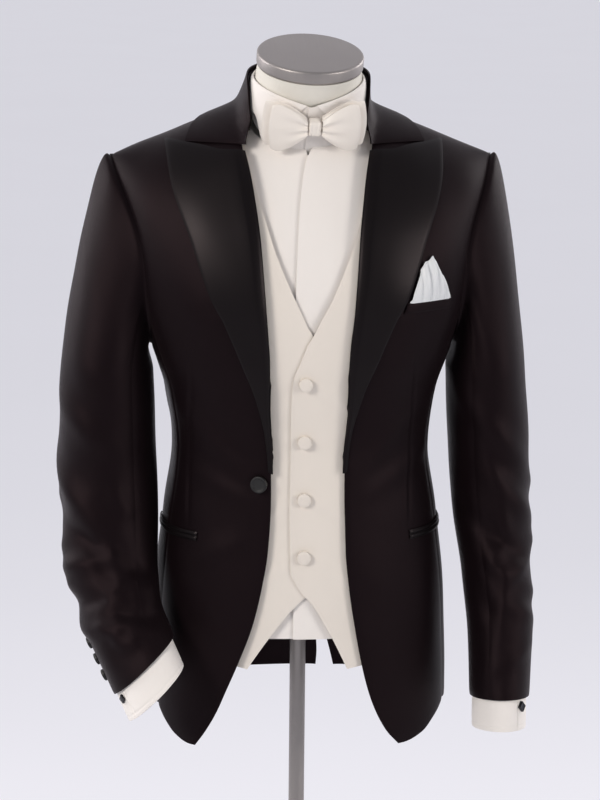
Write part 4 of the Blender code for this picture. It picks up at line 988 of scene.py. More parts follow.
# Jacket

# Soft diagonal folds of the jacket's body, towards its button and under its arms
BODY_FOLDS = (
    Fold(View.FRONT, (0.060, 1.092), (0.150, 1.190), 0.0016, 0.011),
    Fold(View.FRONT, (0.066, 1.066), (0.155, 1.118), 0.0013, 0.010),
    Fold(View.FRONT, (-0.066, 1.086), (-0.150, 1.170), 0.0016, 0.011),
    Fold(View.FRONT, (-0.060, 1.060), (-0.150, 1.100), 0.0012, 0.010),
    Fold(View.FRONT, (-0.070, 1.020), (-0.150, 0.980), 0.0012, 0.013),
    Fold(View.FRONT, (0.172, 1.300), (0.150, 1.210), 0.0015, 0.011),
    Fold(View.FRONT, (-0.178, 1.300), (-0.156, 1.205), 0.0015, 0.012),
    Fold(View.FRONT, (0.140, 0.985), (0.158, 0.850), 0.0014, 0.016),
    Fold(View.FRONT, (-0.146, 0.980), (-0.160, 0.840), 0.0014, 0.016),
    Fold(View.BACK, (-0.115, 1.330), (-0.070, 1.190), 0.0022, 0.018),
    Fold(View.BACK, (0.118, 1.320), (0.076, 1.180), 0.0020, 0.019),
    Fold(View.BACK, (-0.100, 1.120), (-0.020, 1.095), 0.0015, 0.012),
    Fold(View.BACK, (0.104, 1.128), (0.018, 1.108), 0.0016, 0.012),
    Fold(View.BACK, (-0.095, 1.070), (-0.025, 1.062), -0.0013, 0.011),
    Fold(View.BACK, (0.100, 1.076), (0.028, 1.066), -0.0013, 0.012),
    Fold(View.BACK, (-0.110, 0.990), (-0.130, 0.850), 0.0016, 0.020),
    Fold(View.BACK, (0.112, 0.985), (0.126, 0.845), 0.0015, 0.020),
    Fold(View.LEFT_SIDE, (-0.020, 1.215), (0.035, 1.140), 0.0015, 0.012),
    Fold(View.RIGHT_SIDE, (-0.022, 1.212), (0.032, 1.136), 0.0015, 0.012),
)
BODY_SWELL, BODY_SEED = 0.0007, 1.4
# The front darts, sewn in as fine lines
DARTS = (
    Fold(View.FRONT, (0.1268, 1.2382), (0.1242, 1.1223), -0.0009, 0.0020),
    Fold(View.FRONT, (0.1242, 1.1223), (0.1225, 1.0299), -0.0009, 0.0020),
    Fold(View.FRONT, (-0.1345, 1.2300), (-0.1358, 1.0968), -0.0009, 0.0020),
    Fold(View.FRONT, (-0.1358, 1.0968), (-0.1379, 1.0300), -0.0009, 0.0020),
)
WOOL_WALL, SEAM_DIP = 0.0016, 0.0007


@dataclass
class Jacket:
    """The dinner jacket's body: fronts, sides, backs, lapels, collar, pockets and closing button."""

    side_hem_z: float = 0.7960
    back_hem_z: float = 0.7860
    # Height, x on the right, x on the left
    front_edge: tuple[Row, ...] = (
        (0.7590, 0.1310, 0.1130), (0.776, 0.1203, 0.0985), (0.803, 0.1062, 0.0840), (0.829, 0.0956, 0.0745),
        (0.864, 0.0814, 0.0655), (0.914, 0.0636, 0.0560), (0.960, 0.0530, 0.0492), (1.000, 0.0465, 0.0452),
        (1.046, 0.0432, 0.0438), (1.095, 0.0428, 0.0432),
    )
    # Share from the lowest point to the side seam, x on the right, x on the left, height
    front_hem: tuple[Row, ...] = (
        (0.0, 0.1310, 0.1130, 0.7590), (0.14, 0.1385, 0.1220, 0.7597), (0.50, 0.1540, 0.1440, 0.7670),
        (0.80, 0.1655, 0.1590, 0.7800),
    )
    # Edges of the open vent: height, x of the right half, x of the left half
    vent: tuple[Row, ...] = (
        (0.7830, 0.0340, 0.0560), (0.8000, 0.0350, 0.0520), (0.8600, 0.0290, 0.0360), (0.9900, 0.0, 0.0020),
    )
    # Height, x
    roll_line: tuple[Row, ...] = (
        (1.095, 0.0428), (1.115, 0.0434), (1.170, 0.0472), (1.250, 0.0500), (1.300, 0.0543), (1.350, 0.0580),
        (1.386, 0.0612), (1.430, 0.0670), (1.4705, 0.0750),
    )
    lapel_edge: tuple[Row, ...] = (
        (1.098, 0.0460), (1.145, 0.0510), (1.190, 0.0625), (1.225, 0.0765), (1.265, 0.0930), (1.305, 0.1130),
        (1.366, 0.1335), (1.410, 0.1495), (1.446, 0.1575),
    )
    # Share across the lapel, angle past the roll line, height of its face
    lapel_section: tuple[Row, ...] = (
        (0.0, -0.0150, 0.0012), (0.035, -0.0125, 0.0034), (0.10, 0.0, 0.0056), (0.30, 0.0, 0.0051),
        (1.0, 0.0, 0.0036),
    )
    lapel_peak_z: float = 1.480
    # The lapel lies flatter over this share of its length above the button
    foot_share: float = 0.16
    foot_flatness: float = 0.36
    # Seen from above: share, x, y
    gorge: tuple[Row, ...] = (
        (0.0, 0.0750, -0.0688), (0.24, 0.0965, -0.0620), (0.50, 0.1180, -0.0490), (0.74, 0.1380, -0.0355),
        (1.0, 0.1605, -0.0150),
    )
    # Share from the gorge to centre back; then x and z, or x and y for the outer edge in front
    collar_seam: tuple[Row, ...] = ((0.0, 0.0750, 1.4720), (0.25, 0.0775, 1.4920))
    collar_seam_back: tuple[Row, ...] = ((0.75, 0.0560, 1.5120), (1.0, 0.0, 1.5050))
    collar_edge: tuple[Row, ...] = ((0.0, 0.1380, -0.0343), (0.25, 0.1290, -0.0080))
    collar_edge_x: float = 0.1190
    collar_edge_back: tuple[Row, ...] = ((0.75, 0.0930, 1.4800), (1.0, 0.0, 1.4930))
    # Share, degrees round the neck, height, distance from the neck
    collar_roll: tuple[Row, ...] = (
        (0.0, 46.0, 1.4740, 0.0330), (0.22, 60.0, 1.5060, 0.0140), (0.5, 92.0, 1.5500, 0.0098),
        (0.75, 135.0, 1.5590, 0.0098), (1.0, 180.0, 1.5620, 0.0098),
    )
    collar_pull: float = 5.0
    fall_lift: float = 0.0034
    trim_out: float = 0.0026
    button_spot: Row = (-0.0560, 1.0830)
    hip_pocket_z: Spot = (1.0090, 1.0200)
    # The pocket square's upper edge: share across, x, height
    square_crest: tuple[Row, ...] = (
        (0.0, 0.1160, 1.3040), (0.12, 0.1245, 1.3290), (0.28, 0.1300, 1.3420), (0.42, 0.1345, 1.3440),
        (0.52, 0.1400, 1.3490), (0.68, 0.1480, 1.3350), (0.84, 0.1570, 1.3190), (1.0, 0.1625, 1.3010),
    )
    # Its creases: share across, depth, half width
    square_creases: tuple[Row, ...] = (
        (0.24, 0.0024, 0.035), (0.45, 0.0030, 0.030), (0.63, 0.0022, 0.040), (0.80, 0.0018, 0.030),
    )

    def panel(
        self, name: str, place: Place, size: tuple[int, int], node: str, dips: Row, extra: tuple = ()
    ) -> None:
        """A panel of the body's wool, with its share of the body's folds."""
        Panel(
            name, place, *size, WOOL_WALL, WOOL, (node,), BODY_FOLDS + extra, ("form_torso",), "hung",
            swell=BODY_SWELL, seed=BODY_SEED, dips=dips,
        ).make()

    def closing_edge(self, side: int) -> Curve:
        """Left boundary of a front: the cutaway, the closing edge and the roll line, up to the neck."""
        rows = [(z, left if side > 0 else right) for z, right, left in self.front_edge]
        rows += list(self.roll_line[1:])
        low, top = rows[0][0], FIGURE.ridge_height(FIGURE.neck_x)
        places = [(0.93 * (z - low) / (top - low), *FIGURE.spot(x, z)) for z, x in rows]
        return edge(*places, (0.945, *FIGURE.spot(0.0775, 1.492)), (1.0, *FIGURE.ridge_spot(FIGURE.neck_x)))

    def fronts(self, side: int, word: str) -> None:
        """A front, with its dart."""
        seam = FIGURE.side_seams[0]
        hem = [
            (share, *FIGURE.spot(left if side > 0 else right, z)) for share, right, left, z in self.front_hem
        ]
        hem.append((1.0, seam, FIGURE.rise_of(seam, self.side_hem_z)))
        outer = FIGURE.side_edge(seam, self.side_hem_z, (FIGURE.armhole_turn(seam), 0.0))
        spread = patched(self.closing_edge(side), outer, edge(*hem))
        place = Layer(0.0, 0.0).worn(spread, side)
        dips = (0.0005, SEAM_DIP, 0.0004, SEAM_DIP * 0.6)
        self.panel(f"wool_front_{word}", place, (56, 124), f"jacket_front_{word}", dips, DARTS)

    def backs(self, side: int, word: str) -> None:
        """A back, down to its side of the vent."""
        seam = FIGURE.side_seams[1]
        vent = [(z, left if side > 0 else -right) for z, right, left in self.vent]
        low, top = vent[0][0], vent[-1][0]
        centre = [(0.34 * (z - low) / (top - low), *FIGURE.spot(x, z, behind=True)) for z, x in vent]
        centre += [
            (0.60, math.pi, FIGURE.rise_of(math.pi, 1.200)),
            (0.86, math.pi, FIGURE.rise_of(math.pi, 1.503)),
            (0.93, *FIGURE.spot(0.0540, 1.5100, behind=True)),
            (1.0, *FIGURE.ridge_spot(FIGURE.neck_x, behind=True)),
        ]
        outer = FIGURE.side_edge(seam, self.back_hem_z, (FIGURE.armhole_turn(seam), 2 * math.pi))
        place = Layer(0.0, 0.0).worn(patched(outer, edge(*centre)), side)
        dips = (SEAM_DIP, SEAM_DIP, 0.0004, SEAM_DIP * 0.6)
        self.panel(f"wool_back_{word}", place, (46, 112), f"jacket_back_{word}", dips)

    def sides(self, side: int, word: str) -> None:
        """The narrow panel under the arm."""
        turns = [FIGURE.armhole_turn(seam) for seam in FIGURE.side_seams]

        def spread(u: float, v: float) -> Spot:
            """Angle and rise between the two side seams."""
            angle, top = FIGURE.armhole(mix(turns[0], turns[1], u))
            low = FIGURE.rise_of(angle, mix(self.side_hem_z, self.back_hem_z, u))
            return angle, mix(low, top, v)

        place = Layer(0.0, 0.0).worn(spread, side)
        dips = (SEAM_DIP, SEAM_DIP, 0.0004, SEAM_DIP)
        self.panel(f"wool_side_{word}", place, (20, 84), f"jacket_side_{word}", dips)

    def lapels(self, side: int, word: str) -> None:
        """A satin lapel, rolled over at its inner edge and folded flat at its outer one."""
        low, high = self.roll_line[0][0], self.roll_line[-1][0]
        roll = edge(*(((z - low) / (high - low), *FIGURE.spot(x, z)) for z, x in self.roll_line))
        foot = self.lapel_edge[0][0]
        rows = [((z - foot) / (self.lapel_peak_z - foot), *FIGURE.spot(x, z)) for z, x in self.lapel_edge]
        outer = edge(*rows, (1.0, *FIGURE.crown_spot(*self.gorge[-1][1:])))
        gorge = edge(*((share, *FIGURE.crown_spot(x, y)) for share, x, y in self.gorge))
        spread = patched(roll, outer, None, gorge)

        def place(u: float, v: float, out: float) -> Vector:
            """A point of the lapel, its columns closest at the roll."""
            across = u**1.4
            angle, rise = spread(across, v)
            past, height = along(self.lapel_section, across)
            flatter = mix(self.foot_flatness, 1.0, clamp(v / self.foot_share))
            return FIGURE.on_body(side * (angle + past), rise, max(height * flatter, 0.0016) + out)

        Panel(
            f"satin_lapel_{word}", place, 48, 110, 0.0014, LAPEL_SATIN, (f"lapel_{word}",),
            BODY_FOLDS, (f"jacket_front_{word}",), "folded", swell=BODY_SWELL, seed=BODY_SEED,
            dips=(0.0, 0.0007, 0.0, 0.0007), dip_width=0.0028,
        ).make()

    def round_collar(self, front: list[Row], ridge_x: float, back: tuple[Row, ...]) -> Curve:
        """A curve over the shoulder, from its front rows to centre back."""
        fore = edge(*front, (0.5, *FIGURE.ridge_spot(ridge_x)))
        rear = [(share, *FIGURE.spot(x, z, behind=True)) for share, x, z in back]
        aft = edge((0.5, *FIGURE.ridge_spot(ridge_x, behind=True)), *rear)
        return lambda share: fore(share) if share < 0.5 else aft(share)

    def collar(self) -> None:
        """The stand round the neck and the fall folded over it."""
        seam_rows = [(share, *FIGURE.spot(x, z)) for share, x, z in self.collar_seam]
        seam = self.round_collar(seam_rows, FIGURE.neck_x, self.collar_seam_back)
        edge_rows = [(share, *FIGURE.crown_spot(x, y)) for share, x, y in self.collar_edge]
        outer = self.round_collar(edge_rows, self.collar_edge_x, self.collar_edge_back)

        def sides(u: float) -> tuple[float, int]:
            """Share from the gorge to centre back, and the side: u runs from the wearer's left."""
            return 1 - abs(2 * u - 1), (LEFT if u < 0.5 else RIGHT)

        def roll(u: float, lift: float, out: float) -> Vector:
            """A point on the collar's roll."""
            share, side = sides(u)
            degrees, z, away = along(self.collar_roll, share)
            return FIGURE.round_neck(side * math.radians(degrees), z + lift, away + out)

        def on_jacket(curve: Curve, u: float, out: float) -> Vector:
            """A point of a curve on the jacket."""
            share, side = sides(u)
            angle, rise = curve(share)
            return FIGURE.on_body(side * angle, rise, out)

        def fall(u: float, v: float, out: float) -> Vector:
            """A point of the fall, v from its outer edge to the roll."""
            bend, foot = on_jacket(seam, u, self.fall_lift), on_jacket(outer, u, self.fall_lift)
            shares = (v**2, 2 * v * (1 - v) * self.collar_pull, (1 - v) ** 2)
            point = (roll(u, 0.0006, 0.0) * shares[0] + bend * shares[1] + foot * shares[2]) / sum(shares)
            return point + (point - Vector((0, -0.02, 1.42))).normalized() * out

        Panel(
            "wool_collar_fall", fall, 150, 44, WOOL_WALL, WOOL, ("jacket_collar",), (),
            ("jacket_back_left", "jacket_back_right", "jacket_collar_stand"), "folded",
            dips=(0.0004, 0.0004, 0.0007, 0.0), dip_width=0.003,
        ).make()

        def stand(u: float, v: float, out: float) -> Vector:
            """A point of the stand, v from the neckline to the roll."""
            u = mix(0.07, 0.93, u)
            low = on_jacket(seam, u, 0.0) + Vector((0, 0, 0.0016))
            middle = Vector((*along(FIGURE.neck, low.z)[:2], low.z))
            inward = (middle - low).normalized()
            low += inward * 0.0016
            point = low.lerp(roll(u, -0.0050, -0.0024), v) - inward * 0.0012 * math.sin(math.pi * v)
            return point - inward * out

        Panel(
            "wool_collar_stand", stand, 120, 10, 0.0010, WOOL, ("jacket_collar_stand",), (),
            ("jacket_back_left", "jacket_back_right"), "folded",
        ).make()

    def hip_pocket(self, side: int, word: str) -> None:
        """A satin jetted pocket: two narrow lips that meet in a line."""
        start, end = math.radians(43.0 if side > 0 else 46.0), math.radians(92.0)

        def place(u: float, v: float, out: float) -> Vector:
            """A point of the lips."""
            angle = mix(start, end, u)
            slit = trough(0.0011, v - 0.5, 0.09)
            rise = FIGURE.rise_of(angle, mix(*self.hip_pocket_z, v))
            return FIGURE.on_body(side * angle, rise, self.trim_out + slit + out)

        Panel(
            f"satin_pocket_{word}", place, 90, 16, 0.0012, LAPEL_SATIN, (f"hip_pocket_{word}",),
            BODY_FOLDS, (f"jacket_front_{word}",), "folded", swell=BODY_SWELL, seed=BODY_SEED,
            dips=(0.0009, 0.0009, 0.0009, 0.0009), dip_width=0.0015,
        ).make()

    def breast_pocket(self) -> None:
        """The welt and the puffed silk square behind it."""

        def welt(u: float, v: float, out: float) -> Vector:
            """A point of the welt."""
            x = mix(mix(0.1075, 0.1115, v), 0.1650, u)
            return FIGURE.on_body(*FIGURE.spot(x, mix(1.2850, 1.2965, v) + 0.001 * u), self.trim_out + out)

        Panel(
            "wool_breast_welt", welt, 56, 14, 0.0014, WOOL, ("breast_welt",), BODY_FOLDS,
            ("jacket_front_left",), "folded", swell=BODY_SWELL, seed=BODY_SEED,
            dips=(0.0008, 0.0008, 0.0008, 0.0003), dip_width=0.0016,
        ).make()

        def square(u: float, v: float, out: float) -> Vector:
            """A point of the square, puffed in its middle and creased down from its peaks."""
            x, z = along(self.square_crest, u)
            spot = FIGURE.spot(mix(mix(0.1135, 0.1630, u), x, v), mix(mix(1.2971, 1.2980, u), z, v))
            puff = 0.0060 * math.sin(math.pi * mix(0.08, 0.92, u)) * math.sin(math.pi * mix(0.12, 0.9, v))
            lean = u + 0.10 * (v - 0.5)
            crease = sum(trough(depth, lean - at, width) for at, depth, width in self.square_creases)
            fade = math.sin(math.pi * mix(0.1, 0.8, v))
            return FIGURE.on_body(*spot, self.trim_out + puff + crease * fade + out)

        Panel(
            "silk_pocket_square", square, 80, 56, 0.0012, POCKET_SILK, ("pocket_square",), BODY_FOLDS,
            ("breast_welt",), "folded", swell=BODY_SWELL, seed=BODY_SEED,
            dips=(0.0008, 0.0008, 0.0, 0.0006), dip_width=0.0020,
        ).make()

    def button(self) -> None:
        """The closing button."""
        axis = FIGURE.outward(FIGURE.spot(*self.button_spot))
        Button(0.0100, 0.0040, BLACK_BUTTON).make("closing_button", "jacket_button", axis)

    def make(self) -> None:
        """Build the whole body of the jacket."""
        for side, word in SIDES:
            self.fronts(side, word)
            self.backs(side, word)
            self.sides(side, word)
            self.lapels(side, word)
            self.hip_pocket(side, word)
        self.collar()
        self.breast_pocket()
        self.button()


# Sleeves

SLEEVE_FOLDS = {
    RIGHT: (
        Fold(View.FRONT, (-0.237, 0.944), (-0.214, 0.963), 0.0032, 0.009),
        Fold(View.FRONT, (-0.214, 0.963), (-0.168, 0.953), 0.0032, 0.010),
        Fold(View.FRONT, (-0.232, 0.936), (-0.167, 0.925), -0.0028, 0.007),
        Fold(View.FRONT, (-0.249, 0.917), (-0.217, 0.912), 0.0025, 0.009),
        Fold(View.FRONT, (-0.231, 0.900), (-0.198, 0.905), 0.0025, 0.009),
        Fold(View.FRONT, (-0.273, 1.031), (-0.210, 0.981), 0.0028, 0.011),
        Fold(View.FRONT, (-0.267, 1.029), (-0.228, 0.965), -0.0022, 0.009),
        Fold(View.FRONT, (-0.229, 1.070), (-0.205, 1.033), 0.0022, 0.010),
        Fold(View.FRONT, (-0.222, 1.003), (-0.195, 0.968), -0.0022, 0.008),
        Fold(View.RIGHT_SIDE, (-0.030, 1.060), (0.036, 1.015), 0.0024, 0.012),
        Fold(View.RIGHT_SIDE, (-0.052, 1.000), (0.010, 0.960), 0.0028, 0.011),
        Fold(View.RIGHT_SIDE, (-0.070, 0.955), (-0.020, 0.930), 0.0026, 0.010),
        Fold(View.BACK, (-0.262, 1.050), (-0.205, 1.020), 0.0026, 0.012),
        Fold(View.BACK, (-0.258, 0.995), (-0.205, 0.985), 0.0028, 0.010),
        Fold(View.BACK, (-0.250, 0.950), (-0.205, 0.955), 0.0022, 0.010),
    ),
    LEFT: (
        Fold(View.FRONT, (0.208, 1.126), (0.232, 1.059), 0.0026, 0.010),
        Fold(View.FRONT, (0.232, 1.059), (0.243, 0.996), 0.0026, 0.009),
        Fold(View.FRONT, (0.243, 0.996), (0.217, 0.974), 0.0026, 0.009),
        Fold(View.FRONT, (0.217, 0.974), (0.243, 0.963), 0.0024, 0.008),
        Fold(View.FRONT, (0.243, 0.963), (0.229, 0.894), 0.0024, 0.009),
        Fold(View.FRONT, (0.229, 0.894), (0.214, 0.832), 0.0022, 0.009),
        Fold(View.FRONT, (0.212, 1.035), (0.243, 0.994), -0.0022, 0.009),
        Fold(View.FRONT, (0.205, 0.956), (0.223, 0.905), -0.0020, 0.009),
        Fold(View.LEFT_SIDE, (-0.040, 1.070), (0.030, 1.030), 0.0024, 0.012),
        Fold(View.LEFT_SIDE, (-0.060, 1.000), (0.000, 0.975), 0.0024, 0.011),
        Fold(View.LEFT_SIDE, (-0.080, 0.940), (-0.020, 0.915), 0.0022, 0.011),
        Fold(View.BACK, (0.260, 1.060), (0.215, 1.020), 0.0026, 0.012),
        Fold(View.BACK, (0.265, 0.995), (0.220, 0.975), 0.0026, 0.011),
        Fold(View.BACK, (0.262, 0.930), (0.225, 0.905), 0.0022, 0.011),
    ),
}


@dataclass
class Sleeve:
    """One arm: the jacket's sleeve in two pieces, the shirt's sleeve, its double cuff and the buttons."""

    side: int
    word: str
    # Share of the length, outer x and z, inner x and z, centre y, half depth, lift of the front
    rings: tuple[Row, ...]
    # Share, degrees round the arm, slant, height, half width as a share, half length in degrees
    creases: tuple[Row, ...]
    fullness: float
    link_turn: float
    button_turn: float
    cap_share: float = 0.34
    length: float = 0.66
    room: float = 0.0010
    # The seam allowance under the body's wall: share of the length, distance past the armhole, depth
    allowance: Row = (0.012, 0.0030, 0.0024)
    shirt_inside: float = 0.0110
    # Share of the length, distance of the shirt's sleeve inside the jacket's
    shirt_inset: tuple[Row, ...] = (
        (0.0, 0.0140), (0.34, 0.0125), (0.80, 0.0115), (0.955, 0.0064), (0.975, 0.0062),
    )
    cuff_reach: float = 0.037
    cuff_hidden: float = 0.030
    button_shares: Row = (0.835, 0.875, 0.915, 0.955)

    def ring(self, turn: float, share: float) -> Vector:
        """A point on a ring of the sleeve."""
        outer_x, outer_z, inner_x, inner_z, y, depth, lift = along(self.rings, share)
        outer, inner = Vector((outer_x, y, outer_z)), Vector((inner_x, y, inner_z))
        middle, half = (outer + inner) / 2, (outer - inner) / 2
        return middle + half * math.cos(turn) + Vector((0, -depth, lift)) * math.sin(turn)

    def face(self, turn: float, share: float, inside: float) -> Vector:
        """A point on the sleeve, its head curved out from the armhole."""
        if share >= self.cap_share:
            return self.ring(turn, share)
        t = share / self.cap_share
        start = FIGURE.on_body(*FIGURE.armhole(turn, inside + self.room)) + Vector((self.room, 0, 0))
        end = self.ring(turn, self.cap_share)
        top = (1 + math.cos(turn)) / 2
        under = Vector((0.045, 0, 0.0)) if inside else Vector((0.014, 0, -0.030))
        leave = Vector((0.045, 0, 0.085)) * top + under * (1 - top)
        along_arm = (self.ring(turn, self.cap_share + 0.01) - end).normalized()
        arrive = along_arm * (end - start).length * mix(0.85, self.fullness, top)
        eased = t * t * (3 - 2 * t)
        return start.lerp(end, eased) + (leave * (1 - t) - arrive * t) * t * (1 - t)

    def crease(self, turn: float, share: float) -> float:
        """How far the broad creases lift the cloth."""
        lift = 0.0
        for at, degrees, slant, height, width, reach in self.creases:
            round_by = math.degrees(math.remainder(turn - math.radians(degrees), 2 * math.pi))
            run = share - at - round_by * math.tan(math.radians(slant)) / 1000 / self.length
            lift += height * math.exp(-((run / width) ** 2) - (round_by / reach) ** 2)
        return lift

    def place(self, turn: float, share: float, out: float, inside: float = 0.0) -> Vector:
        """A point of the sleeve.

        Args:
            turn: Turn round the arm, 0 on its outer side.
            share: Share of the length, 0 at the armhole.
            out: Distance out from the jacket's sleeve.
            inside: How far the sleeve starts inside the jacket's armhole; the shirt's has no creases.

        Returns:
            The point.
        """
        step = 1e-4
        point = self.face(turn, share, inside)
        round_arm = self.face(turn + step, share, inside) - self.face(turn - step, share, inside)
        down_arm = self.face(turn, share + step, inside) - self.face(turn, max(share - step, 0), inside)
        lift = 0.0 if inside else self.crease(turn, share)
        point = point + round_arm.cross(down_arm).normalized() * (out + lift)
        start = FIGURE.on_body(*FIGURE.armhole(turn, inside + self.room), out) + Vector((self.room, 0, 0))
        if share < self.cap_share:
            start += self.face(turn, share, inside) - self.face(turn, 0.0, inside)
        point = start.lerp(point, min(share / 0.10, 1.0))
        tuck, past, under = self.allowance
        if not inside and share < tuck:
            tucked = FIGURE.on_body(*FIGURE.armhole(turn, -past), out - under)
            point = tucked.lerp(point, share / tuck)
        return Vector((self.side * point.x, point.y, point.z))

    def outward(self, turn: float, share: float) -> Vector:
        """The way out of the cloth at a place."""
        return (self.place(turn, share, 0.01) - self.place(turn, share, 0.0)).normalized()

    def way(self) -> Vector:
        """The direction in which the cuff leaves the sleeve."""
        low, high = ((self.place(0, s, 0) + self.place(math.pi, s, 0)) / 2 for s in (1.0, 0.93))
        return (low - high).normalized()

    def panels(self) -> None:
        """The sleeve's top and under pieces."""
        front, back = (FIGURE.armhole_turn(seam) for seam in FIGURE.side_seams)
        fore, aft = front * 7 / 8, mix(back, 2 * math.pi, 1 / 8)
        spans = (("top", (aft - 2 * math.pi, fore), 64), ("under", (fore, aft), 28))
        for name, (start, end), columns in spans:

            def place(u: float, v: float, out: float, start: float = start, end: float = end) -> Vector:
                """A point of the piece, v from the hem up."""
                return self.place(mix(start, end, u), 1 - v, out)

            Panel(
                f"wool_sleeve_{name}_{self.word}", place, columns, 124, WOOL_WALL, WOOL,
                (f"sleeve_{name}_{self.word}",), SLEEVE_FOLDS[self.side],
                (f"jacket_front_{self.word}", f"jacket_back_{self.word}"), "hung",
                swell=0.0007, seed=2.6, dips=(0.0006, 0.0006, 0.0005, 0.0), dip_width=0.003,
            ).make()

    def shirt(self) -> None:
        """The shirt's sleeve inside."""

        def place(u: float, v: float, out: float) -> Vector:
            """A point of the shirt's sleeve."""
            share = self.shirt_inset[-1][0] * (1 - v)
            (inset,) = along(self.shirt_inset, share)
            return self.place(2 * math.pi * u, share, out - inset, self.shirt_inside)

        Panel(
            f"cotton_sleeve_{self.word}", place, 56, 48, 0.0010, SHIRT_COTTON, (f"shirt_sleeve_{self.word}",),
            (), (f"shirt_front_{self.word}", "shirt_back"), "hung", tube=True,
        ).make()

    def cuff(self) -> None:
        """The double cuff with its stitched edge and the slit under the link."""
        way = self.way()

        def place(u: float, v: float, out: float) -> Vector:
            """A point of the cuff, v from its edge up."""
            past = mix(self.cuff_reach, -self.cuff_hidden, v)
            turn = 2 * math.pi * u
            stitched = trough(0.0006, past - (self.cuff_reach - 0.0055), 0.0012)
            away = math.remainder(turn - self.link_turn - 0.16, 2 * math.pi)
            slit = trough(0.0011, away, 0.024)
            point = self.place(turn, 1 + min(past, 0) / self.length, out - 0.0034 + stitched + slit)
            return point + way * max(past, 0)

        Panel(
            f"cotton_cuff_{self.word}", place, 200, 60, 0.0022, SHIRT_COTTON, (f"shirt_cuff_{self.word}",),
            (), (f"shirt_sleeve_{self.word}",), "folded", tube=True, dips=(0.0, 0.0, 0.0004, 0.0),
            dip_width=0.002,
        ).make()

    def fastenings(self) -> None:
        """The link and the four buttons."""
        self.link()
        for number, share in enumerate(self.button_shares, 1):
            name, node = f"sleeve_button_{self.word}_{number}", f"cuff_button_{self.word}_{number}"
            Button(0.0072, 0.0034, BLACK_BUTTON).make(name, node, self.outward(self.button_turn, share))

    def link(self) -> None:
        """The square cufflink, with a raised rim round a flat face."""
        deselect()
        bpy.ops.mesh.primitive_cube_add(size=1)
        piece = bpy.context.object
        bpy.ops.transform.resize(value=(0.0092, 0.0092, 0.0035))
        bpy.ops.object.transform_apply(scale=True)
        for face in piece.data.polygons:
            face.select = face.normal.z > 0.9
        bpy.ops.object.mode_set(mode="EDIT")
        bpy.ops.mesh.select_mode(type="FACE")
        bpy.ops.mesh.inset(thickness=0.0010, depth=0.0)
        bpy.ops.mesh.inset(thickness=0.0004, depth=-0.0005)
        bpy.ops.object.mode_set(mode="OBJECT")
        applied(piece, "BEVEL", width=0.0005, segments=3, limit_method="ANGLE", angle_limit=0.5)
        bpy.ops.object.shade_smooth_by_angle(angle=math.radians(40))
        node = f"cufflink_{self.word}"
        turned_to(piece, node_middle(node), self.outward(self.link_turn, 1.0))
        dressed(piece, f"square_link_{self.word}", LINK_METAL, (node,))

    def make(self) -> None:
        """Build the whole arm."""
        self.panels()
        self.shirt()
        self.cuff()
        self.fastenings()


RIGHT_ARM = Sleeve(
    RIGHT, "right",
    (
        (0.34, 0.2850, 1.205, 0.1760, 1.200, -0.010, 0.0690, 0.0),
        (0.47, 0.2885, 1.110, 0.1735, 1.110, -0.008, 0.0650, 0.0),
        (0.60, 0.2865, 1.020, 0.1710, 1.022, -0.022, 0.0600, 0.0),
        (0.72, 0.2790, 0.955, 0.1725, 0.970, -0.046, 0.0560, 0.004),
        (0.84, 0.2600, 0.900, 0.1710, 0.940, -0.080, 0.0520, 0.007),
        (1.00, 0.2270, 0.832, 0.1560, 0.902, -0.118, 0.0440, 0.008),
    ),
    (
        (0.42, 55.0, 30.0, 0.0045, 0.030, 50.0),
        (0.53, 30.0, 34.0, 0.0050, 0.028, 55.0),
        (0.62, 60.0, 22.0, -0.0045, 0.026, 50.0),
        (0.69, 20.0, -16.0, 0.0060, 0.024, 65.0),
        (0.77, 40.0, -10.0, -0.0045, 0.022, 60.0),
        (0.84, 15.0, 12.0, 0.0045, 0.024, 55.0),
    ),
    0.55, math.radians(30.0), math.radians(-8.0),
)
LEFT_ARM = Sleeve(
    LEFT, "left",
    (
        (0.34, 0.2680, 1.200, 0.1745, 1.200, -0.010, 0.0690, 0.0),
        (0.47, 0.2760, 1.110, 0.1790, 1.110, -0.008, 0.0650, 0.0),
        (0.60, 0.2780, 1.020, 0.1860, 1.020, -0.018, 0.0600, 0.0),
        (0.72, 0.2795, 0.950, 0.1960, 0.950, -0.036, 0.0560, 0.004),
        (0.86, 0.2775, 0.880, 0.2010, 0.880, -0.062, 0.0530, 0.008),
        (1.00, 0.2715, 0.812, 0.2005, 0.812, -0.090, 0.0500, 0.009),
    ),
    (
        (0.44, 90.0, -38.0, 0.0045, 0.028, 50.0),
        (0.56, 60.0, -34.0, 0.0050, 0.026, 55.0),
        (0.63, 95.0, -30.0, -0.0045, 0.024, 50.0),
        (0.70, 70.0, 24.0, 0.0045, 0.024, 50.0),
        (0.80, 50.0, -24.0, 0.0035, 0.026, 50.0),
        (0.90, 75.0, 20.0, 0.0030, 0.024, 45.0),
    ),
    0.68, math.radians(50.0), math.radians(-48.0),
)


# Waistcoat

WAISTCOAT_FOLDS = (
    Fold(View.FRONT, (0.006, 1.196), (0.070, 1.165), 0.0008, 0.007),
    Fold(View.FRONT, (-0.014, 1.128), (-0.062, 1.150), 0.0008, 0.007),
    Fold(View.FRONT, (0.005, 1.060), (0.048, 1.040), 0.0008, 0.006),
    Fold(View.FRONT, (-0.014, 1.060), (-0.055, 1.036), 0.0008, 0.006),
    Fold(View.FRONT, (0.004, 0.992), (0.052, 0.960), 0.0008, 0.008),
    Fold(View.FRONT, (-0.014, 0.992), (-0.060, 0.962), 0.0008, 0.008),
)


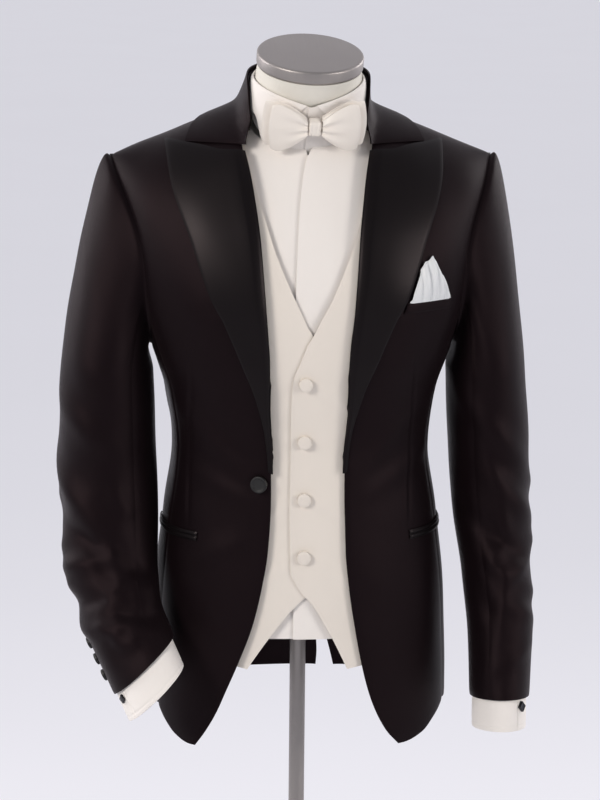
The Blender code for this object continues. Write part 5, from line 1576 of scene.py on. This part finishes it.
@dataclass
class Waistcoat:
    """The four-button waistcoat, the wearer's left front on top."""

    middle: float = -0.004
    wall: float = 0.0014
    shoulder: float = -0.0021
    seam_ends: Row = (0.0860, 0.1380)
    hem_z: float = 0.905
    point_z: float = 0.8570
    # Share from the lower corner up, x, height
    closing: tuple[Row, ...] = (
        (0.0, -0.0200, 0.9735), (0.18, -0.0213, 1.0690), (0.34, -0.0209, 1.1600), (0.42, -0.0203, 1.1940),
        (0.46, -0.0176, 1.2125), (0.49, -0.0109, 1.2282), (0.55, 0.0039, 1.2601), (0.62, 0.0226, 1.2962),
        (0.69, 0.0385, 1.3322), (0.74, 0.0507, 1.3631), (0.785, 0.0611, 1.3966), (0.815, 0.0681, 1.4201),
        (0.87, 0.0790, 1.4640),
    )
    # Share, degrees round the body, height
    armhole: tuple[Row, ...] = (
        (0.0, 90.0, 0.905), (0.36, 90.0, 1.100), (0.62, 88.0, 1.195), (0.68, 68.0, 1.222),
        (0.75, 56.0, 1.280), (0.83, 48.0, 1.370),
    )
    button_heights: Row = (1.2030, 1.1320, 1.0630, 0.9945)

    def arm_edge(self, behind: bool) -> Curve:
        """Side and armhole of a front or a back, up to the shoulder."""
        rows = []
        for share, degrees, z in self.armhole:
            turn = math.radians(degrees)
            rows.append((share, math.pi - turn if behind else turn, FIGURE.rise_of(turn, z)))
        return edge(*rows, (1.0, *FIGURE.ridge_spot(self.seam_ends[1], behind)))

    def fronts(self, side: int, word: str, depth: float, point_x: float) -> None:
        """A front with its pointed hem."""
        rows = [
            (share, *FIGURE.spot(x if side > 0 else x + 2 * self.middle, z)) for share, x, z in self.closing
        ]
        left = edge(*rows, (1.0, *FIGURE.ridge_spot(self.seam_ends[0])))
        right = self.arm_edge(False)
        tip = FIGURE.spot(point_x, self.point_z)
        bottom = straight((0.0, *left(0)), (0.5, *tip), (1.0, *right(0)))
        place = Layer(depth, self.shoulder).worn(patched(left, right, bottom), side)
        Panel(
            f"ivory_front_{word}", place, 60, 120, self.wall, WAISTCOAT_CLOTH, (f"waistcoat_front_{word}",),
            WAISTCOAT_FOLDS, ("form_torso",), "hung", swell=0.0004, seed=0.8,
            dips=(0.0005, 0.0, 0.0005, 0.0), dip_width=0.0026,
        ).make()

    def backs(self, side: int, word: str) -> None:
        """A plain back."""
        centre = edge(
            (0.0, math.pi, FIGURE.rise_of(math.pi, self.hem_z)),
            (0.5, math.pi, FIGURE.rise_of(math.pi, 1.200)),
            (0.82, math.pi, FIGURE.rise_of(math.pi, 1.492)),
            (0.91, *FIGURE.spot(0.0600, 1.4980, behind=True)),
            (1.0, *FIGURE.ridge_spot(self.seam_ends[0], behind=True)),
        )
        place = Layer(-0.0062, self.shoulder).worn(patched(self.arm_edge(True), centre), side)
        Panel(
            f"ivory_back_{word}", place, 28, 64, self.wall, WAISTCOAT_CLOTH, (f"waistcoat_back_{word}",), (),
            ("form_torso",), "hung", swell=0.0004, seed=0.8, dips=(0.0, 0.0004, 0.0004, 0.0),
        ).make()

    def make(self) -> None:
        """Build the whole waistcoat."""
        halves = ((LEFT, "left", -0.0048, 0.0500), (RIGHT, "right", -0.0074, 0.0727))
        for side, word, depth, point_x in halves:
            self.fronts(side, word, depth, point_x)
            self.backs(side, word)
        for number, z in enumerate(self.button_heights, 1):
            axis = FIGURE.outward(FIGURE.spot(self.middle, z))
            name, node = f"covered_button_{number}", f"waistcoat_button_{number}"
            Button(0.0080, 0.0042, WAISTCOAT_CLOTH, covered=True).make(name, node, axis)


# Shirt and bow tie


@dataclass
class Shirt:
    """The shirt's body and its turned-down collar."""

    bottom_z: float = 0.8930
    armhole_inside: float = 0.0110
    shoulder: float = -0.0043
    sink: float = 0.0030
    stand_out: float = 0.0018
    stand_lap: float = math.radians(3.0)
    lap_lift: float = 0.0012
    throat_reach: float = 0.018
    leaf_out: float = 0.0057
    leaf_point: float = 42.0
    seam: float = 0.0003
    ridge_x: tuple[Row, ...] = ((LEFT, 0.0644), (RIGHT, 0.0600))
    # Degrees round the neck, height of the collar's seam
    collar_foot: tuple[Row, ...] = (
        (0.0, 1.4780), (45.0, 1.4850), (90.0, 1.5110), (112.0, 1.5150), (135.0, 1.5150), (180.0, 1.5100),
    )

    def neck_spot(self, degrees: float, side: int) -> Spot:
        """Angle and rise where the shirt meets its collar."""
        (height,) = along(self.collar_foot, degrees)
        point = FIGURE.round_neck(side * math.radians(degrees), height, self.stand_out + 2 * self.seam)
        return FIGURE.crown_spot(abs(point.x), point.y, -0.0113)

    def armhole_edge(self, behind: bool) -> Curve:
        """Side and armhole of a front, or of the back."""
        end = 2 * math.pi if behind else 0.0
        return FIGURE.side_edge(math.pi / 2, self.bottom_z, (math.pi, end), self.armhole_inside)

    def fronts(self) -> None:
        """The fronts, the wearer's left one on top with its placket."""
        ridges = dict(self.ridge_x)
        folds = (
            Fold(View.FRONT, (0.020, 1.440), (0.024, 1.300), 0.0007, 0.009),
            Fold(View.FRONT, (-0.036, 1.430), (-0.030, 1.310), 0.0007, 0.010),
            Fold(View.FRONT, (0.000, 0.950), (0.006, 0.895), 0.0010, 0.008),
        )
        halves = ((LEFT, "left", -0.0113, -0.0165), (RIGHT, "right", -0.0143, -0.0080))
        for side, word, depth, edge_x in halves:
            left = edge(
                (0.0, *FIGURE.spot(edge_x, self.bottom_z)),
                (0.5, *FIGURE.spot(edge_x, 1.200)),
                (0.78, *self.neck_spot(2.0, side)),
                (0.87, *self.neck_spot(45.0, side)),
                (0.94, *self.neck_spot(80.0, side)),
                (1.0, *FIGURE.ridge_spot(ridges[side])),
            )
            spread = patched(left, self.armhole_edge(False))
            place = Layer(depth, self.shoulder, self.sink).worn(spread, side)
            Panel(
                f"cotton_front_{word}", place, 64, 110, 0.0010, SHIRT_COTTON, (f"shirt_front_{word}",), folds,
                ("form_torso",), "hung", swell=0.0005, seed=3.1, dips=(0.0004, 0.0, 0.0003, 0.0),
                dip_width=0.0024,
            ).make()

    def back(self) -> None:
        """The back, in one piece."""
        low = FIGURE.rise_of(math.pi / 2, self.bottom_z)
        aft, ridges, halves = self.armhole_edge(True), dict(self.ridge_x), {}
        for side, _ in SIDES:
            nape = math.pi, self.neck_spot(180.0, side)[1]
            middle = edge((0.0, math.pi, low), (0.5, math.pi, FIGURE.rise_of(math.pi, 1.200)), (1.0, *nape))
            neckline = straight(
                (0.0, *aft(1.0)),
                (0.50, *FIGURE.ridge_spot(ridges[side], behind=True)),
                (0.66, *self.neck_spot(125.0, side)),
                (0.82, *self.neck_spot(150.0, side)),
                (1.0, *nape),
            )
            hem = straight((0.0, *aft(0.0)), (1.0, *middle(0.0)))
            halves[side] = Layer(-0.0140, self.shoulder).worn(patched(aft, middle, hem, neckline), side)

        def place(u: float, v: float, out: float) -> Vector:
            """A point of the back, u from the wearer's left."""
            return halves[LEFT if u < 0.5 else RIGHT](1 - abs(2 * u - 1), v, out)

        Panel(
            "cotton_back", place, 72, 60, 0.0010, SHIRT_COTTON, ("shirt_back",), (), ("form_torso",), "hung",
        ).make()

    def foot(self, turn: float) -> float:
        """Height of the collar's seam at a turn round the neck."""
        return along(self.collar_foot, 180 - abs(math.degrees(turn) - 180))[0]

    def top(self, turn: float) -> float:
        """Height of the collar's fold at a turn round the neck."""
        return 1.518 + 0.042 * abs(math.sin(turn / 2))

    def collar(self) -> None:
        """The collar's stand, and the leaf folded over it."""

        def stand(u: float, v: float, out: float) -> Vector:
            """A point of the stand, its left end buttoned over its right and its foot behind the fronts."""
            turn = mix(-self.stand_lap, 2 * math.pi + self.stand_lap, u)
            low = self.foot(turn) - self.throat_reach * clamp(math.cos(turn)) ** 4
            over = self.lap_lift * clamp(1 - 12 * u)
            return FIGURE.round_neck(turn, mix(low, self.top(turn), v), self.stand_out + over + out)

        Panel(
            "cotton_collar_stand", stand, 128, 14, 0.0010, SHIRT_COTTON, ("shirt_collar_stand",), (),
            ("shirt_back",), "folded",
        ).make()

        def leaf(u: float, v: float, out: float) -> Vector:
            """A point of the leaf, v from its edge to the fold; the front edges slant out to the points."""
            first = math.radians(5.0)
            fold = low = mix(first, 2 * math.pi - first, u)
            from_front = math.degrees(min(fold, 2 * math.pi - fold))
            if from_front < self.leaf_point + 20:
                reach = mix(self.leaf_point, self.leaf_point + 20, from_front / (self.leaf_point + 20))
                low = math.radians(reach if fold < math.pi else 360 - reach)
            turn = mix(low, fold, v)
            point = math.exp(-(((from_front - 5) / 30) ** 2))
            z = mix(self.top(turn) - mix(0.0310, 0.0570, point), self.top(turn) + 0.0010, v)
            flare = 0.0030 * (1 - v) ** 2 * max(math.cos(turn), 0) * abs(math.sin(turn))
            folded = 0.0025 * v**6 + 0.0010 * clamp((v - 0.90) / 0.10) ** 2
            return FIGURE.round_neck(turn, z, self.leaf_out + flare - folded + out)

        Panel(
            "cotton_collar_leaf", leaf, 190, 34, 0.0009, SHIRT_COTTON, ("shirt_collar_leaf",), (),
            ("shirt_collar_stand",), "folded", dips=(0.0003, 0.0003, 0.0004, 0.0), dip_width=0.002,
        ).make()

    def make(self) -> None:
        """Build the shirt's body and collar."""
        self.fronts()
        self.back()
        self.collar()


@dataclass
class BowTie:
    """The bow: a band round the collar, two wings of two layers each, and the knot."""

    centre: Row = (0.0060, -0.0893, 1.4965)
    lean: float = math.radians(24.7)
    knot: Row = (0.0158, 0.0155, 0.0190)
    band_out: float = 0.0036
    wall: float = 0.0024
    # Distance from the knot's middle, half height
    outline: tuple[Row, ...] = (
        (0.0070, 0.0090), (0.018, 0.0185), (0.030, 0.0265), (0.042, 0.0310), (0.0495, 0.0290),
    )
    # Layer, depth behind the knot's middle, extra length
    layers: tuple[tuple[str, float, float], ...] = (("front", -0.0050, 0.0), ("rear", 0.0030, 0.0072))

    def band(self, shirt: Shirt) -> None:
        """The band round the shirt's collar."""

        def place(u: float, v: float, out: float) -> Vector:
            """A point of the band."""
            turn = 2 * math.pi * u
            height = shirt.foot(turn) + mix(0.010, 0.024, v)
            return FIGURE.round_neck(turn, height, self.band_out + out)

        Panel(
            "satin_bow_band", place, 128, 8, 0.0010, BOW_SATIN, ("bow_band",), (), ("shirt_collar_stand",),
            "folded", tube=True,
        ).make()

    def wings(self) -> None:
        """The four wings, gathered into pleats at the knot."""
        tilt = Matrix.Rotation(self.lean, 3, "X")
        end = self.outline[-1][0]
        for side, word in SIDES:
            for layer, depth, longer in self.layers:

                def wing(
                    u: float, v: float, out: float,
                    side: int = side, depth: float = depth, longer: float = longer,
                ) -> Vector:
                    """A point of a wing, u away from the knot and v up."""
                    away = mix(self.knot[0] / 2 + 0.0006, end + longer, u)
                    (half,) = along(self.outline, min(away, end))
                    across = 2 * v - 1
                    belly = 1 - across**2
                    puff = 0.0030 * math.sin(math.pi * mix(0.1, 0.75, u)) * belly
                    pleat = 0.0016 * (1 - u) ** 1.5 * math.cos(3 * math.pi * across + 0.4 * side)
                    pleat -= 0.0009 * (1 - u) * math.exp(-(((across - 0.25 + 0.5 * u) / 0.12) ** 2))
                    front = depth + 2.2 * away**2 - self.wall / 2 - out - puff - pleat
                    reach = away + 0.0035 * u * belly
                    return Vector(self.centre) + tilt @ Vector((side * reach, front, half * across))

                Panel(
                    f"satin_bow_{layer}_{word}", wing, 44, 48, self.wall, BOW_SATIN,
                    (f"bow_{layer}_{word}",), (), ("bow_knot",), "folded",
                    dips=(0.0, 0.0005, 0.0005, 0.0005), dip_width=0.0016,
                ).make()

    def tie(self) -> None:
        """The knot, a rounded block with soft pleats down its front."""
        deselect()
        bpy.ops.mesh.primitive_cube_add(size=1)
        piece = bpy.context.object
        bpy.ops.transform.resize(value=self.knot)
        bpy.ops.object.transform_apply(scale=True)
        applied(piece, "BEVEL", width=0.0042, segments=4, limit_method="ANGLE", angle_limit=0.5)
        bpy.ops.object.mode_set(mode="EDIT")
        bpy.ops.mesh.select_all(action="SELECT")
        bpy.ops.mesh.subdivide(number_cuts=5)
        bpy.ops.object.mode_set(mode="OBJECT")
        for corner in piece.data.vertices:
            x, y, z = corner.co
            waist = 1 - 0.06 * math.cos(math.pi * z / self.knot[2])
            facing = clamp(-y / self.knot[1] * 3)
            pleats = sum(trough(0.0008, x - at - 0.08 * z, 0.0009) for at in (-0.0032, 0.0024))
            corner.co.x = x * waist
            corner.co.y = y - pleats * facing
        bpy.ops.object.shade_smooth_by_angle(angle=math.radians(60))
        turn = Matrix.Rotation(self.lean, 4, "X")
        piece.data.transform(Matrix.Translation(self.centre) @ turn)
        piece.data.update()
        dressed(piece, "satin_bow_knot", BOW_SATIN, ("bow_knot",))

    def make(self, shirt: Shirt) -> None:
        """Build the bow on the shirt's collar."""
        self.band(shirt)
        self.wings()
        self.tie()


# Studio


@dataclass
class Studio:
    """The camera, the soft lights and the pale floor."""

    target: Row = (0.0, 0.0, 1.157)
    distance: float = 3.2
    lens: float = 120.0
    azimuth: float = math.radians(-5.0)
    elevation: float = math.radians(13.0)
    roll: float = math.radians(0.55)
    floor_colour: Row = (0.54, 0.54, 0.56)
    floor_glow: float = 0.54
    # Colour of the surround behind the figure and in front of it
    behind: Row = (0.74, 0.73, 0.78)
    in_front: Row = (0.30, 0.31, 0.34)
    # Place, size, power in watts, colour
    lamps: tuple[tuple[Row, float, float, Row], ...] = (
        ((-2.1, -1.9, 2.4), 0.9, 46.0, (1.0, 0.95, 0.89)),
        ((2.2, -1.6, 1.7), 0.8, 24.0, (1.0, 0.95, 0.90)),
        ((-2.0, 0.9, 1.9), 0.9, 18.0, (1.0, 0.96, 0.96)),
        ((1.9, 1.1, 1.9), 0.9, 14.0, (1.0, 0.97, 0.97)),
    )

    def camera(self) -> None:
        """Put the camera where the picture was taken from."""
        data = bpy.data.cameras.new("camera")
        data.lens = self.lens
        data.sensor_width = 36.0
        data.dof.use_dof = False
        item = bpy.data.objects.new("camera", data)
        bpy.context.scene.collection.objects.link(item)
        flat, high = math.cos(self.elevation), math.sin(self.elevation)
        way = Vector((math.sin(self.azimuth) * flat, -math.cos(self.azimuth) * flat, high))
        place = Vector(self.target) + way * self.distance
        turn = (-way).to_track_quat("-Z", "Y").to_matrix().to_4x4()
        item.matrix_world = Matrix.Translation(place) @ turn @ Matrix.Rotation(self.roll, 4, "Z")
        bpy.context.scene.camera = item

    def lights(self) -> None:
        """Large soft lamps that face the figure, and a pale surround."""
        for number, (place, size, power, colour) in enumerate(self.lamps, 1):
            data = bpy.data.lights.new(f"softbox_{number}", "AREA")
            data.shape = "SQUARE"
            data.size = size
            data.energy = power
            data.color = colour
            lamp = bpy.data.objects.new(f"softbox_{number}", data)
            bpy.context.scene.collection.objects.link(lamp)
            facing = (Vector(self.target) - Vector(place)).to_track_quat("-Z", "Y").to_matrix().to_4x4()
            lamp.matrix_world = Matrix.Translation(place) @ facing
        graph = Graph(bpy.data.worlds.new("surround"))
        way = graph.node("ShaderNodeTexCoord", {}, {}, "Generated")
        depth = graph.node("ShaderNodeSeparateXYZ", {}, {"Vector": way}, "Y")
        share = graph.node("ShaderNodeMapRange", {}, {"Value": depth, "From Min": -0.5, "From Max": 0.7})
        bpy.context.scene.world = graph.finish(
            Color=graph.between(share, self.in_front, self.behind), Strength=1.0
        )

    def floor(self) -> None:
        """A plain pale floor."""
        deselect()
        bpy.ops.mesh.primitive_plane_add(size=60.0)
        item = bpy.context.object
        item.name = "floor"
        graph = Graph(bpy.data.materials.new("pale_floor"))
        cloudy = graph.noise(graph.place(own_map=False), 1.5, 2.0)
        shade = tuple(value * 0.96 for value in self.floor_colour)
        depth = graph.node("ShaderNodeSeparateXYZ", {}, {"Vector": graph.place(own_map=False)}, "Y")
        share = graph.node("ShaderNodeMapRange", {}, {"Value": depth, "From Min": -0.2, "From Max": 1.6})
        item.data.materials.append(
            graph.finish(
                Base_Color=graph.between(cloudy, shade, self.floor_colour),
                Roughness=0.9,
                Specular_IOR_Level=0.1,
                Emission_Color=graph.between(share, self.in_front, self.behind),
                Emission_Strength=self.floor_glow,
            )
        )

    def make(self) -> None:
        """Set up the studio."""
        self.camera()
        self.lights()
        self.floor()
        bpy.context.scene.view_settings.view_transform = "Standard"


def main() -> None:
    """Build the studio and the figure, from the stand out to the jacket."""
    logging.basicConfig(level=logging.INFO, format="%(name)s: %(message)s")
    Studio().make()
    stand = Stand()
    stand.make()
    Form().make(stand)
    shirt = Shirt()
    shirt.make()
    BowTie().make(shirt)
    Waistcoat().make()
    Jacket().make()
    for arm in (RIGHT_ARM, LEFT_ARM):
        arm.make()


if __name__ == "__main__":
    main()
